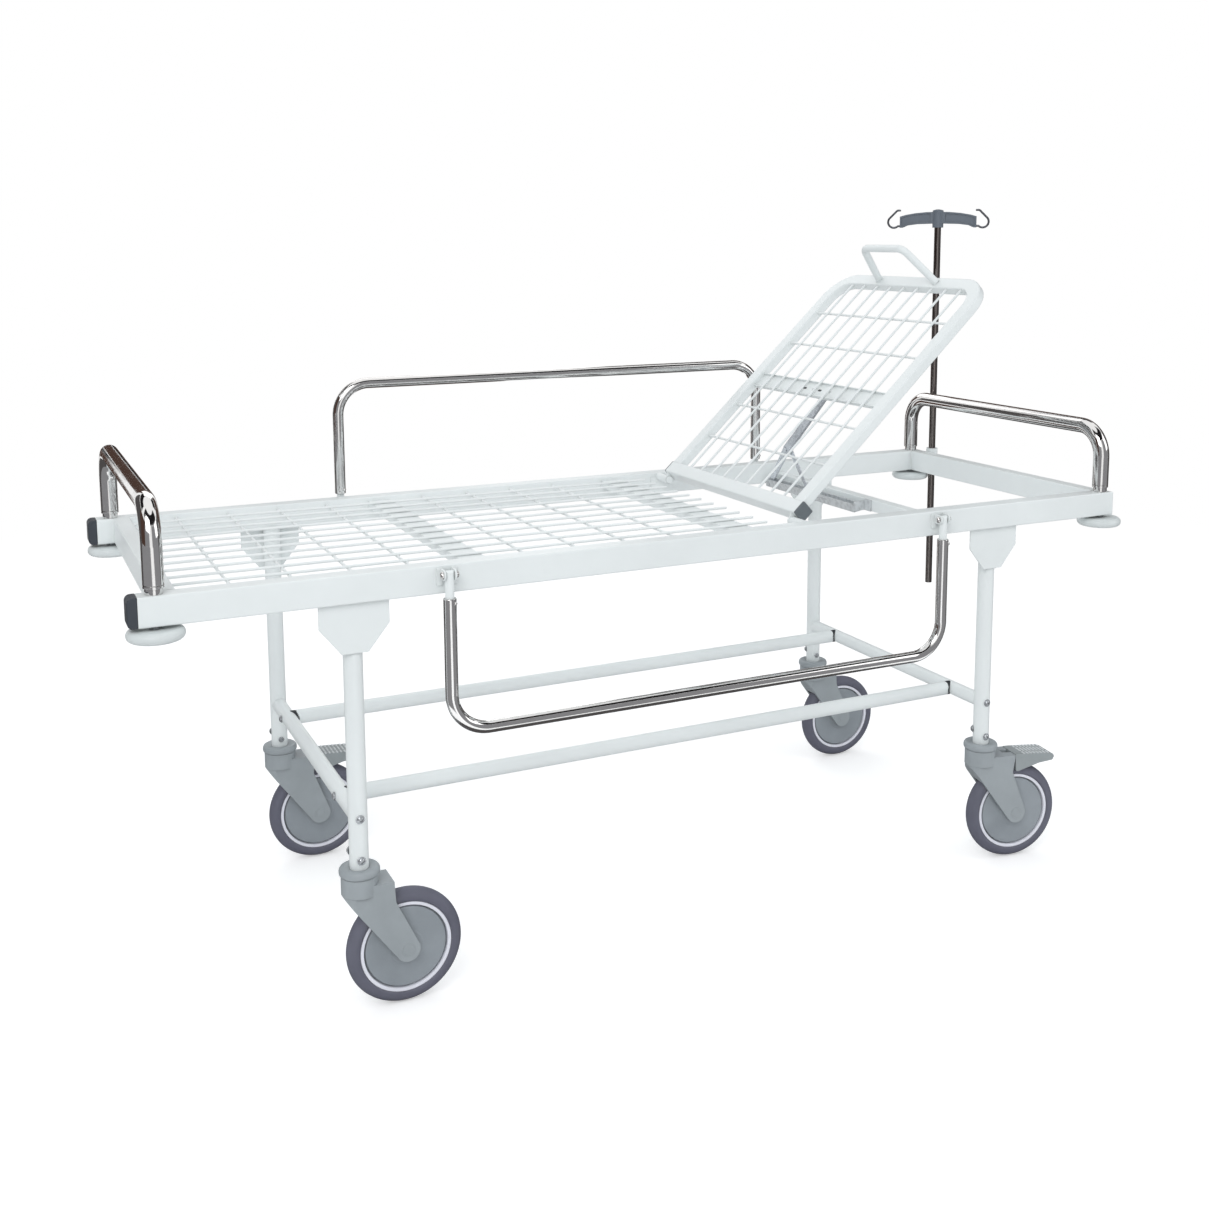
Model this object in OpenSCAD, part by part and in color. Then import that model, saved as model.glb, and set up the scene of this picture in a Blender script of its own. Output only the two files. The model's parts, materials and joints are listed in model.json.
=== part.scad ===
// Patient stretcher on four swivel casters: white tube frame, wire deck, tilting backrest,
// chrome push bars and side guards, round corner bumpers and a drip pole.
// X runs from the foot end to the head end, Y to the far side, Z up from the floor.

/* [Top frame] */
// Length of the two long rails
rail_length = 1938; // [1800:2:2100]
// Width over the outer faces of the rails
frame_width = 680; // [620:2:760]
// Height of the top of the rails above the floor
rail_top = 754; // [720:1:820]
// Height of the rail tube
rail_height = 48; // [44:1:54]
// Width of the rail tube
rail_width = 35; // [32:1:40]
// Wall of the rail and cross rail tubes
rail_wall = 2; // [1.5:0.1:3]
// Thickness of the two cross rails along the stretcher
cross_rail_depth = 30; // [25:1:35]
// Length of rail that sticks out past the foot cross rail
foot_overhang = 30; // [26:1:60]
// How far a black rail cap sticks out of the rail end
rail_cap_out = 16; // [8:1:22]

/* [Deck] */
// Diameter of every deck and backrest wire
wire_d = 5; // [4:0.5:6]
// Depth of the middle of the long wires below the rail top
wire_drop = 5; // [3:0.5:8]
// Number of long wires in the deck
deck_wires = 11; // [7:1:13]
// Spacing of the long wires in the deck
deck_wire_pitch = 52; // [40:1:54]
// Spacing of the cross wires
cross_wire_pitch = 98; // [80:1:110]
// Distance of the first cross wire from the foot end of the rails
first_cross_wire = 145; // [120:1:170]
// Width of a flat bar under the deck
flat_bar_w = 45; // [30:1:60]
// Thickness of a flat bar under the deck
flat_bar_t = 4; // [3:0.5:6]
// Distance of the first flat bar from the foot end of the rails
flat_bar_foot = 549; // [530:1:568]
// Distance of the second flat bar from the foot end of the rails
flat_bar_head = 1079; // [1040:1:1090]
// Length of wire past the last flat bar
wire_tail = 42; // [20:1:60]

/* [Legs and lower frame] */
// Outer diameter of a leg tube
leg_d = 32; // [28:1:36]
// Distance of the foot legs from the middle of the rails
foot_leg_x = 640; // [560:1:700]
// Distance of the head legs from the middle of the rails
head_leg_x = 661; // [600:1:720]
// Distance of a leg's axis from the outer side of its rail
leg_in = 27; // [22:1:60]
// Width of a leg plate
plate_w = 116; // [90:1:150]
// Height of a leg plate
plate_h = 84; // [60:1:110]
// Width of the cut-off lower corners of a leg plate
plate_corner = 36; // [20:1:42]
// Height of the cut-off lower corners of a leg plate
plate_corner_h = 45; // [20:1:55]
// Thickness of a leg plate
plate_t = 3; // [2:0.5:5]
// Outer diameter of the lower frame tubes
low_tube_d = 28; // [24:1:30]
// Height of the lower frame's axis above the floor
low_tube_z = 340; // [320:1:420]
// Distance of a lower long tube's axis from the axes of its legs
low_long_in = 99; // [70:1:120]
// Wall of the leg and lower frame tubes
tube_wall = 2; // [1.5:0.1:3]

/* [Casters] */
// Diameter of a wheel
wheel_d = 200; // [180:1:206]
// Width of a tyre
tyre_w = 32; // [26:1:38]
// Radius where the tyre starts
tyre_inner_r = 79; // [70:1:84]
// Distance of the axle behind the swivel axis
trail = 73; // [55:1:80]
// Angle that the near caster at the head end is swung out to in the pose that is drawn
head_near_turn = 9; // [0:1:9]
// Height of the seam between the swivel head and the fork
head_bottom_z = 240; // [236:1:244]
// Height of the swivel head's collar
collar_h = 14; // [12:1:22]
// Diameter of the swivel head's collar
collar_d = 68; // [60:1:74]
// Diameter of a wheel's axle
axle_d = 12; // [10:1:16]
// Radius of the king pin below the swivel head
king_pin_r = 8; // [6:0.5:9]
// Length of the king pin inside the fork
king_pin_h = 26; // [20:1:28]
// Thickness of a fork arm
fork_arm_t = 8; // [6:0.5:10]

/* [Push bars and bumpers] */
// Outer diameter of a push bar tube
bar_d = 32; // [25:1:32]
// Height of a push bar's axis above the rail top
bar_height = 133; // [110:1:180]
// Radius of a push bar's bends on its axis
bar_bend = 60; // [50:1:90]
// Distance of the foot push bar's posts from the rail end
foot_post_in = 26; // [22:1:32]
// Distance of the head push bar's posts from the rail end
head_post_in = 20; // [18:1:30]
// Height of the gap between a post and the rail
post_gap = 14; // [8:1:20]
// Length of the plug that stands in a foot of a push bar
spigot_plug = 36; // [28:1:45]
// Length of a corner bolt inside its plug
bolt_sink = 24; // [16:1:30]
// Diameter of a bumper disc
bumper_d = 88; // [80:1:88]
// Thickness of a bumper disc
bumper_t = 18; // [14:1:24]
// Gap between a bumper disc and the rail
bumper_gap = 5; // [4:1:9]

/* [Side guards] */
// Outer diameter of a guard's tube
guard_d = 22; // [18:1:25]
// Distance of a guard's foot end post from the middle of the rails
guard_foot_x = 487; // [400:1:520]
// Distance of a guard's head end post from the middle of the rails
guard_head_x = 516; // [450:1:540]
// Height of a guard from its pivot to the axis of its long tube
guard_height = 267; // [220:1:310]
// Travel of a guard along its links, from pulled out to locked
guard_lift = 21; // [12:1:21]
// Radius of a guard's bends on its axis
guard_bend = 65; // [40:1:90]
// Depth of a guard's pivot below the rail top
guard_pivot_drop = 14; // [12:1:20]

/* [Backrest] */
// Length of the backrest frame
back_length = 636; // [590:1:660]
// Gap between the backrest and each long rail
back_gap = 38; // [34:1:60]
// Side of the backrest's square tube
back_tube = 30; // [25:1:30]
// Depth of the backrest's bent tube
back_depth = 20; // [18:1:25]
// Outer radius of the backrest's two rounded corners
back_corner = 75; // [50:1:120]
// Angle of the backrest above the deck in the pose that is drawn
back_angle = 43; // [10:1:46]
// Distance of the backrest's pivot from the middle of the rails
hinge_x = 233; // [210:1:250]
// Depth of the backrest's pivot below the rail top
hinge_drop = 9; // [6:1:14]
// Distance of the pivot from the middle of the bottom tube, with the backrest flat
hinge_arm = 25; // [25:1:40]
// Height of the bottom tube's middle above the pivot, with the backrest flat
hinge_rise = 2; // [0:0.5:6]
// Length of the plates that hold the backrest's pivot pins
hinge_plate_w = 44; // [30:1:60]
// Height of the plates that hold the backrest's pivot pins
hinge_plate_h = 26; // [20:1:30]
// Number of long wires in the backrest
back_wires = 9; // [7:1:9]
// Spacing of the long wires in the backrest
back_wire_pitch = 48; // [40:1:50]
// Width of the broad cross strip of the backrest
strip_w = 40; // [30:1:60]
// Distance of the middle of the broad strip from the foot edge
strip_s = 301; // [285:1:320]
// Diameter of the handle's tube
handle_d = 16; // [12:1:20]
// Height of the handle above the backrest
handle_h = 97; // [70:1:120]
// Length of the handle where it meets the backrest
handle_base = 200; // [150:1:240]
// Length of the handle's grip
handle_grip = 140; // [90:1:150]

/* [Ratchet] */
// Distance of the ratchet channel's axis from the middle of the rails
ratchet_x = 520; // [510:1:530]
// Height of the ratchet channel's axis above the floor, below the rail top
ratchet_drop = 42; // [38:1:46]
// Distance of the arm's pivot from the far rail
arm_pivot_in = 20; // [18:1:35]
// Distance of the arm's tip from the middle plane, in the pose that is drawn
arm_tip_y = -20; // [-40:1:0]
// Width of the channel
channel_w = 18; // [16:1:20]
// Size of the square tube that stands behind the channel
ratchet_tube = 25; // [20:1:28]
// Diameter of the ratchet's pivot pins
ratchet_pin_d = 6; // [5:0.5:8]

/* [Drip pole] */
// Diameter of the pole
pole_d = 16; // [12:1:20]
// Height of the pole's lower end
pole_bottom = 420; // [300:5:560]
// Height of the pole's upper end
pole_top = 1345; // [1200:5:1500]
// Distance of the pole's axis from the outer side of the far rail
pole_in = 59; // [57:1:78]
// Gap from the rail end to the pole's axis
pole_out = 14; // [13.5:0.5:20]
// Turn of the hook bar away from the length of the stretcher
hook_turn = -43; // [-90:1:90]
// Half length of the hook bar, to where a hook starts
hook_bar_half = 91; // [70:1:110]

/* [Hidden] */
$fn = 48;

// Clearances
gap = 0.3;
pin_clear = 0.05;
seam = 0.15;
cut = 1;

// Colours
white = [0.90, 0.93, 0.93];
chrome = [0.75, 0.76, 0.78];
zinc = [0.60, 0.62, 0.64];
black = [0.26, 0.29, 0.33];
plastic = [0.58, 0.61, 0.63];
disc_grey = [0.84, 0.87, 0.87];
tyre_grey = [0.38, 0.38, 0.43];
bar_grey = [0.47, 0.51, 0.55];

// Top frame
rail_half = rail_length / 2;
rail_y = frame_width / 2;
rail_inner_y = rail_y - rail_width;
rail_mid_y = rail_y - rail_width / 2;
rail_bottom = rail_top - rail_height;
foot_rail_x = -rail_half + foot_overhang;
head_rail_x = rail_half - cross_rail_depth;
end_plate_t = 3;
foot_post_x = -rail_half + foot_post_in;
head_post_x = rail_half - head_post_in;
bolt_d = 8;

// Deck
wire_r = wire_d / 2;
wire_z = rail_top - wire_drop;
weld_sink = 0.4;
cross_wire_z = wire_z - wire_d + weld_sink;
flat_bar_z = wire_z - wire_r - 0.2 - flat_bar_t;
first_x = -rail_half + first_cross_wire;
flat_bar_x = [for (d = [flat_bar_foot, flat_bar_head]) d - rail_half];
deck_end_x = flat_bar_x[1] + flat_bar_w / 2 + wire_tail;
deck_start_x = foot_rail_x + cross_rail_depth;

// Legs
leg_xs = [-foot_leg_x, head_leg_x];
leg_y = rail_y - leg_in;
low_long_y = leg_y - low_long_in;
leg_bottom = head_bottom_z + collar_h - 3;
stem_top = leg_bottom + 46;
stem_bolt_z = leg_bottom + 17;
stem_cross_z = leg_bottom + 29;
stem_cross_turn = -35;
frame_bolt_d = 6;
saddle_t = 5;

// Casters
wheel_r = wheel_d / 2;
wheel_gap = 2.5;
arm_in_y = tyre_w / 2 + wheel_gap;
arm_out_y = arm_in_y + fork_arm_t;
fork_top = head_bottom_z - 0.5;
fork_slot = 5;
crown_bottom = wheel_d + fork_slot;
flange_top = fork_top - 14;
house_bottom = fork_top - 32;
tip_r = 21;
house_r = 31;
flange_x = 52;
brake_flange_x = 67;
pedal_pivot = [59, 216];
pedal_pin_r = 3;
pedal_eye_r = 6;

// Push bars and bumpers
bar_r = bar_d / 2;
bar_z = rail_top + bar_height;
post_y = rail_mid_y;
spigot_r = bar_r - 2 - gap;
spigot_neck_r = bar_r - 3;
bumper_top = rail_bottom - bumper_gap;

// Side guards
guard_r = guard_d / 2;
guard_y = rail_y + 15;
guard_pivot_z = rail_top - guard_pivot_drop;
guard_pin_r = 4;
link_w = guard_d - 7;
link_len = 44;
ear_t = 3;

// Backrest, with flat-pose sizes turned up about the pivot
back_width = 2 * (rail_inner_y - back_gap);
hinge_z = rail_top - hinge_drop;
back_foot = hinge_arm - back_tube / 2;
back_up = hinge_rise + back_tube / 2;
back_wire_drop = wire_r + 2.5;
strip_t = 3;
strip_under = back_wire_drop + wire_r + wire_d - weld_sink + strip_t + 0.1;
lug_t = 4;
lug_r = 9.5;
lug_y = back_width / 2 - 12;
hinge_pin_r = 5;

// Ratchet: where the arm's ball lies under the strip, then the lean and swing that follow from it
ratchet_z = rail_top - ratchet_drop;
arm_pivot_y = rail_inner_y - arm_pivot_in;
ball_r = 7;
ball_play = 3;
ball_s = strip_s + 8;
ball_p = back_point(ball_s, strip_under + ball_r + ball_play);
lean = atan2(ratchet_x - ball_p[0], ball_p[1] - ratchet_z);
arm_tip_w = sqrt(pow(ratchet_x - ball_p[0], 2) + pow(ball_p[1] - ratchet_z, 2));
arm_tip = [arm_tip_y, arm_tip_w];
arm_root = [arm_pivot_y, 0];
apex = [arm_pivot_y - 98, 96];
strut_foot = [apex[0] - 48, 8];
channel_half = channel_w / 2;
channel_wall = 2;
channel_near_y = -62;
channel_far_y = arm_pivot_y + 12;
ratchet_pin_r = ratchet_pin_d / 2;
ratchet_tube_x = ratchet_x + 31;

// Drip pole
pole_x = rail_half + pole_out;
pole_y = rail_y - pole_in;
pole_r = pole_d / 2;
sleeve_r = pole_out - gap;
sleeve_top = rail_top + 8;
sleeve_bottom = rail_bottom - 4;
hub_r = 13;
hub_h = 40;
hook_wire_r = 2.5;
hook_r = 14;
hook_drop = 36;
hook_reach = hook_bar_half + 1 + 2 * hook_r;

// The origin is on the floor under the middle of the whole outline
outline_min_x = foot_post_x - bumper_d / 2;
outline_max_x = pole_x + hook_reach * cos(hook_turn) + hook_wire_r;
origin_x = (outline_min_x + outline_max_x) / 2;

// A point of the backrest's middle plane at rest, from its distance s from the foot edge and its
// depth below the top plane
function back_point(s, depth) =
    let (a = back_foot + s, b = back_up - depth)
    [hinge_x + a * cos(back_angle) - b * sin(back_angle),
     hinge_z + a * sin(back_angle) + b * cos(back_angle)];

// Shifts a node from the rails' middle to the origin
module placed() {
    translate([-origin_x, 0, 0]) children();
}

// Both sides of the stretcher
module both_sides() {
    for (side = [0, 1]) mirror([0, side, 0]) children();
}

// The four legs' places, each with the sign of its side
module at_legs() {
    for (x = leg_xs, side = [-1, 1]) translate([x, side * leg_y, 0]) children();
}

// A cylinder along Y from y0 to y1
module y_rod(r, y0, y1) {
    translate([0, y0, 0]) rotate([-90, 0, 0]) cylinder(r = r, h = y1 - y0);
}

// A cylinder along X from x0 to x1
module x_rod(r, x0, x1) {
    translate([x0, 0, 0]) rotate([0, 90, 0]) cylinder(r = r, h = x1 - x0);
}

// A rounded bar in the XY plane that joins two discs by their outer tangents
module link_outline(p, rp, q, rq) {
    d = q - p;
    len = norm(d);
    base = atan2(d[1], d[0]);
    tilt = acos((rp - rq) / len);
    translate(p) circle(r = rp);
    translate(q) circle(r = rq);
    polygon([
        p + rp * [cos(base + tilt), sin(base + tilt)],
        p + rp * [cos(base - tilt), sin(base - tilt)],
        q + rq * [cos(base - tilt), sin(base - tilt)],
        q + rq * [cos(base + tilt), sin(base + tilt)]
    ]);
}

// A round bar bent to a U in the YZ plane: posts at -w/2 and w/2 from z0 up to the bends, top axis at z1
module u_bar(r, w, z0, z1, bend) {
    for (side = [0, 1]) mirror([0, side, 0]) {
        translate([0, w / 2, z0]) cylinder(r = r, h = z1 - bend - z0);
        translate([0, w / 2 - bend, z1 - bend]) rotate([90, 0, 90])
            rotate_extrude(angle = 90) translate([bend, 0]) circle(r = r);
    }
    translate([0, 0, z1]) y_rod(r, -w / 2 + bend, w / 2 - bend);
}

// The tube of a U, bored through and open at both feet
module u_tube(r, wall, w, z0, z1, bend) {
    difference() {
        u_bar(r, w, z0, z1, bend);
        u_bar(r - wall, w, z0 - cut, z1, bend);
    }
}

// A rail tube with its long axis along X, solid at the head end plate
module rail(side) {
    y0 = side < 0 ? -rail_y : rail_inner_y;
    color(white) difference() {
        translate([-rail_half, y0, rail_bottom]) cube([rail_length, rail_width, rail_height]);
        translate([-rail_half - cut, y0 + rail_wall, rail_bottom + rail_wall])
            cube([rail_length - end_plate_t + cut, rail_width - 2 * rail_wall, rail_height - 2 * rail_wall]);
        for (x = [foot_post_x, head_post_x]) translate([x, side * post_y, rail_bottom - cut])
            cylinder(r = bolt_d / 2 + gap, h = rail_height + 2 * cut);
    }
}

module near_rail() {
    placed() rail(-1);
}

module far_rail() {
    placed() rail(1);
}

// A cross rail between the long rails
module cross_rail(x) {
    color(white) difference() {
        translate([x, -rail_inner_y, rail_bottom]) cube([cross_rail_depth, 2 * rail_inner_y, rail_height]);
        translate([x + rail_wall, -rail_inner_y - cut, rail_bottom + rail_wall])
            cube([cross_rail_depth - 2 * rail_wall, 2 * (rail_inner_y + cut), rail_height - 2 * rail_wall]);
    }
}

module foot_cross_rail() {
    placed() cross_rail(foot_rail_x);
}

module head_cross_rail() {
    placed() cross_rail(head_rail_x);
}

// Black plugs in the foot ends of the rails, with rounded upper and lower outer edges
module rail_end_caps() {
    cap_r = 9;
    plug = 14;
    placed() color(black) both_sides() translate([-rail_half, -rail_mid_y, 0]) {
        difference() {
            translate([-rail_cap_out, -rail_width / 2, rail_bottom])
                cube([rail_cap_out, rail_width, rail_height]);
            for (z = [rail_bottom, rail_top]) translate([-rail_cap_out, 0, z]) difference() {
                rotate([0, 45, 0]) cube([2 * cap_r * 0.7, rail_width + 2 * cut, 2 * cap_r * 0.7], center = true);
                translate([cap_r, 0, z == rail_top ? -cap_r : cap_r]) y_rod(cap_r, -rail_width, rail_width);
            }
        }
        translate([0, -rail_width / 2 + rail_wall + gap, rail_bottom + rail_wall + gap])
            cube([plug, rail_width - 2 * (rail_wall + gap), rail_height - 2 * (rail_wall + gap)]);
    }
}

// Two flat bars that carry the deck wires
module deck_flat_bars() {
    placed() color(white) for (x = flat_bar_x) translate([x - flat_bar_w / 2, -rail_inner_y, flat_bar_z])
        cube([flat_bar_w, 2 * rail_inner_y, flat_bar_t]);
}

// The welded wires of the deck: long wires on top, cross wires below
module deck_mesh() {
    placed() color(white) {
        for (k = [0 : deck_wires - 1])
            translate([0, (k - (deck_wires - 1) / 2) * deck_wire_pitch, wire_z])
                x_rod(wire_r, deck_start_x, deck_end_x);
        for (k = [0 : 8]) if (k != 4)
            translate([first_x + k * cross_wire_pitch + (k > 4 ? 8 : 0), 0, cross_wire_z])
                y_rod(wire_r, -rail_inner_y, rail_inner_y);
    }
}

// The square tube across the frame that stands behind the ratchet and stops the backrest
module ratchet_cross_tube() {
    placed() color(white) difference() {
        translate([ratchet_tube_x - ratchet_tube / 2, -rail_inner_y, rail_bottom])
            cube([ratchet_tube, 2 * rail_inner_y, ratchet_tube]);
        translate([ratchet_tube_x - ratchet_tube / 2 + rail_wall, -rail_inner_y - cut, rail_bottom + rail_wall])
            cube([ratchet_tube - 2 * rail_wall, 2 * (rail_inner_y + cut), ratchet_tube - 2 * rail_wall]);
    }
}

// The two brackets that hold the ratchet channel by its end pins, so that it can lean
module ratchet_brackets() {
    pin_r = 4;
    bracket_t = 4;
    near_y = channel_near_y - gap - bracket_t;
    tube_face = ratchet_tube_x - ratchet_tube / 2;
    placed() color(black) {
        translate([ratchet_x - 10, near_y, rail_bottom]) cube([tube_face - ratchet_x + 10, bracket_t, ratchet_tube - 5]);
        translate([tube_face - 3, near_y - 22, rail_bottom]) cube([3, 22, ratchet_tube]);
        translate([ratchet_x, near_y + bracket_t, ratchet_z]) y_rod(pin_r, 0, 4);
        translate([ratchet_x, channel_far_y - 4 + gap, ratchet_z]) y_rod(pin_r, 0, 4);
        translate([ratchet_x, channel_far_y + gap, ratchet_z]) y_rod(7, 0, rail_inner_y - channel_far_y - gap);
    }
}

// A push bar over a pair of posts
module push_bar(x) {
    placed() color(chrome) translate([x, 0, 0])
        u_tube(bar_r, tube_wall, 2 * post_y, rail_top + post_gap, bar_z, bar_bend);
}

module foot_push_bar() {
    push_bar(foot_post_x);
}

module head_push_bar() {
    push_bar(head_post_x);
}

// Necked plugs that stand on the rails and fill the feet of the push bars
module push_bar_spigots() {
    placed() color(chrome) for (x = [foot_post_x, head_post_x], side = [-1, 1])
        translate([x, side * post_y, rail_top]) difference() {
            union() {
                cylinder(r = spigot_neck_r, h = post_gap - 4);
                cylinder(r = spigot_neck_r - 2, h = post_gap);
                cylinder(r = spigot_r, h = post_gap + spigot_plug);
                translate([0, 0, post_gap - 4]) cylinder(r = bar_r, h = 4 - gap);
            }
            translate([0, 0, -cut]) cylinder(r = bolt_d / 2 + 0.1, h = bolt_sink + 2 + cut);
        }
}

// Bolts that hold the bumper discs, the rails and the push bars together
module bumper_bolts() {
    placed() color(zinc) for (x = [foot_post_x, head_post_x], side = [-1, 1])
        translate([x, side * post_y, 0]) {
            translate([0, 0, bumper_top - bumper_t - gap]) cylinder(r = bolt_d / 2, h = rail_top + bolt_sink - bumper_top + bumper_t);
            translate([0, 0, bumper_top - bumper_t - gap - 5]) cylinder(r = 7, h = 5);
            translate([0, 0, bumper_top + gap]) cylinder(r = 6, h = bumper_gap - gap);
        }
}

// A soft round bumper disc, fuller at its rim
module bumper(x, side) {
    rim = bumper_t / 2;
    r = bumper_d / 2;
    placed() color(disc_grey) translate([x, side * post_y, bumper_top - bumper_t]) rotate_extrude() {
        translate([r - rim, rim]) circle(r = rim);
        polygon([
            [bolt_d / 2 + pin_clear, 1.5], [r - rim, 0], [r - rim, bumper_t],
            [bolt_d / 2 + pin_clear, bumper_t - 1]
        ]);
    }
}

module foot_near_bumper() {
    bumper(foot_post_x, -1);
}

module foot_far_bumper() {
    bumper(foot_post_x, 1);
}

module head_near_bumper() {
    bumper(head_post_x, -1);
}

module head_far_bumper() {
    bumper(head_post_x, 1);
}

// The pivots of both guards on both sides
module at_guard_pivots() {
    for (x = [-guard_foot_x, guard_head_x], side = [0, 1]) mirror([0, side, 0])
        translate([x, -guard_y, guard_pivot_z]) children();
}

// Pairs of ears on the rails that hold the guards' pivot bolts
module guard_brackets() {
    ear_x = link_w / 2 + gap;
    ear_r = 9;
    base_y = guard_y - rail_y;
    below = link_len - 4 - guard_lift;
    placed() color(white) at_guard_pivots() difference() {
        union() for (s = [0, 1]) mirror([s, 0, 0]) translate([ear_x, 0, 0]) {
            x_rod(ear_r, 0, ear_t);
            translate([0, 0, -ear_r]) cube([ear_t, base_y, 2 * ear_r]);
            translate([0, base_y - ear_t, -below])
                cube([10, ear_t, below + guard_pivot_drop - 4]);
        }
        x_rod(guard_pin_r + pin_clear, -ear_x - ear_t - cut, ear_x + ear_t + cut);
    }
}

// Domed pivot bolts with cap nuts
module guard_pivot_bolts() {
    outer = link_w / 2 + gap + ear_t;
    placed() color(chrome) at_guard_pivots() {
        x_rod(guard_pin_r, -outer - 3, outer + 3);
        for (s = [-1, 1]) translate([s * (outer + 0.1), 0, 0]) difference() {
            sphere(r = 6.5);
            translate([s > 0 ? -20 : 0, -10, -10]) cube([20, 20, 20]);
        }
    }
}

// A guard's U tube with a bush in each foot, drawn upwards from its pivots and pulled out; way is 1
// for up and -1 for hanging down
module guard_tube(way) {
    span = guard_foot_x + guard_head_x;
    mid = (guard_head_x - guard_foot_x) / 2;
    bush = 4.5;
    color(chrome) translate([mid, 0, 0]) mirror([0, 0, way < 0 ? 1 : 0]) {
        rotate([0, 0, 90]) u_tube(guard_r, tube_wall, span, link_len - 5, guard_height, guard_bend);
        for (s = [-1, 1]) translate([s * span / 2, 0, link_len - bush]) difference() {
            cylinder(r = guard_r - tube_wall / 2, h = bush);
            translate([0, 0, -cut]) cylinder(r = link_w / 2 + gap, h = bush + 2 * cut);
        }
    }
}

// The rounded hinge links at a guard's feet, each with a wide end that the tube's bush can't pass
module guard_links(way) {
    color(white) for (x = [-guard_foot_x, guard_head_x]) translate([x, 0, 0])
        mirror([0, 0, way < 0 ? 1 : 0]) difference() {
            union() {
                intersection() {
                    x_rod(link_w / 2, -link_w / 2, link_w / 2);
                    cylinder(r = link_w / 2, h = link_w, center = true);
                }
                cylinder(r = link_w / 2, h = link_len + 1);
                translate([0, 0, link_len + gap]) cylinder(r = guard_r - tube_wall - gap, h = 30);
            }
            x_rod(guard_pin_r + pin_clear, -link_w, link_w);
        }
}

module near_guard() {
    placed() translate([0, -guard_y, guard_pivot_z]) guard_tube(-1);
}

module near_guard_links() {
    placed() translate([0, -guard_y, guard_pivot_z]) guard_links(-1);
}

module far_guard() {
    placed() translate([0, guard_y, guard_pivot_z - guard_lift]) guard_tube(1);
}

module far_guard_links() {
    placed() translate([0, guard_y, guard_pivot_z]) guard_links(1);
}

// The four leg tubes, with their bolt holes
module legs() {
    placed() color(white) at_legs() difference() {
        translate([0, 0, leg_bottom]) cylinder(r = leg_d / 2, h = rail_bottom - leg_bottom);
        translate([0, 0, leg_bottom - cut])
            cylinder(r = leg_d / 2 - tube_wall, h = rail_bottom - leg_bottom - end_plate_t + cut);
        for (z = [stem_bolt_z, low_tube_z]) translate([0, 0, z])
            y_rod(frame_bolt_d / 2 + 0.2, -leg_d, leg_d);
        translate([0, 0, stem_cross_z]) rotate([0, 0, stem_cross_turn])
            x_rod(frame_bolt_d / 2 + 0.2, -leg_d, 0);
    }
}

// The plates on the outer sides of the legs, under the rails
module leg_plates() {
    placed() color(white) for (x = leg_xs) both_sides()
        translate([x, -leg_y - leg_d / 2 - gap, rail_bottom]) rotate([90, 0, 0]) linear_extrude(plate_t)
            polygon([
                [-plate_w / 2, 0], [-plate_w / 2, -plate_h + plate_corner_h],
                [-plate_w / 2 + plate_corner, -plate_h], [plate_w / 2 - plate_corner, -plate_h],
                [plate_w / 2, -plate_h + plate_corner_h], [plate_w / 2, 0]
            ]);
}

// The lower cross tubes, coped to the legs
module lower_cross_tubes() {
    placed() color(white) for (x = leg_xs) translate([x, 0, low_tube_z]) difference() {
        y_rod(low_tube_d / 2, -leg_y, leg_y);
        y_rod(low_tube_d / 2 - tube_wall, -leg_y - cut, leg_y + cut);
        for (side = [-1, 1]) {
            translate([0, side * leg_y, -leg_d]) cylinder(r = leg_d / 2 + gap, h = 2 * leg_d);
            translate([0, side * low_long_y, 0]) x_rod(frame_bolt_d / 2 + 0.2, -leg_d, leg_d);
        }
    }
}

// The lower long tubes, coped to the saddles on the cross tubes
module lower_long_tubes() {
    cope_r = low_tube_d / 2 + saddle_t + gap;
    placed() color(white) both_sides() translate([0, -low_long_y, low_tube_z]) difference() {
        x_rod(low_tube_d / 2, -foot_leg_x, head_leg_x);
        x_rod(low_tube_d / 2 - tube_wall, -foot_leg_x - cut, head_leg_x + cut);
        for (x = leg_xs) translate([x, 0, 0]) y_rod(cope_r, -leg_d, leg_d);
    }
}

// Black saddles between the long tubes and the cross tubes
module tube_saddles() {
    placed() color(black) both_sides() for (k = [0, 1])
        translate([leg_xs[k], -low_long_y, low_tube_z]) mirror([k, 0, 0]) difference() {
            intersection() {
                x_rod(low_tube_d / 2, 0, low_tube_d);
                y_rod(low_tube_d / 2 + saddle_t, -leg_d, leg_d);
            }
            y_rod(low_tube_d / 2 + gap, -leg_d, leg_d);
            x_rod(frame_bolt_d / 2 + 0.2, 0, leg_d);
        }
}

// A bolt along X from the origin with a domed head on its near side
module dome_bolt(length) {
    x_rod(frame_bolt_d / 2, 0, length);
    difference() {
        translate([1.5, 0, 0]) sphere(r = 6.2);
        translate([0, -10, -10]) cube([20, 20, 20]);
    }
    x_rod(frame_bolt_d / 2, -1, 1);
}

// The bolts of the legs, the caster stems and the lower frame
module leg_bolts() {
    head_y = leg_d / 2 + 0.1;
    placed() color(zinc) {
        for (x = leg_xs) both_sides() translate([x, -leg_y, 0]) {
            translate([0, -head_y, low_tube_z]) rotate([0, 0, 90]) dome_bolt(leg_d + 18);
            translate([0, -head_y, stem_bolt_z]) rotate([0, 0, 90]) dome_bolt(leg_d + 4);
        }
        at_legs() rotate([0, 0, stem_cross_turn])
            translate([-head_y, 0, stem_cross_z]) dome_bolt(leg_d / 2 + 8);
        for (k = [0, 1]) both_sides() translate([leg_xs[k], -low_long_y, low_tube_z]) mirror([k, 0, 0])
            translate([-low_tube_d / 2 - 0.1, 0, 0]) dome_bolt(low_tube_d + 24);
    }
}

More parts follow.
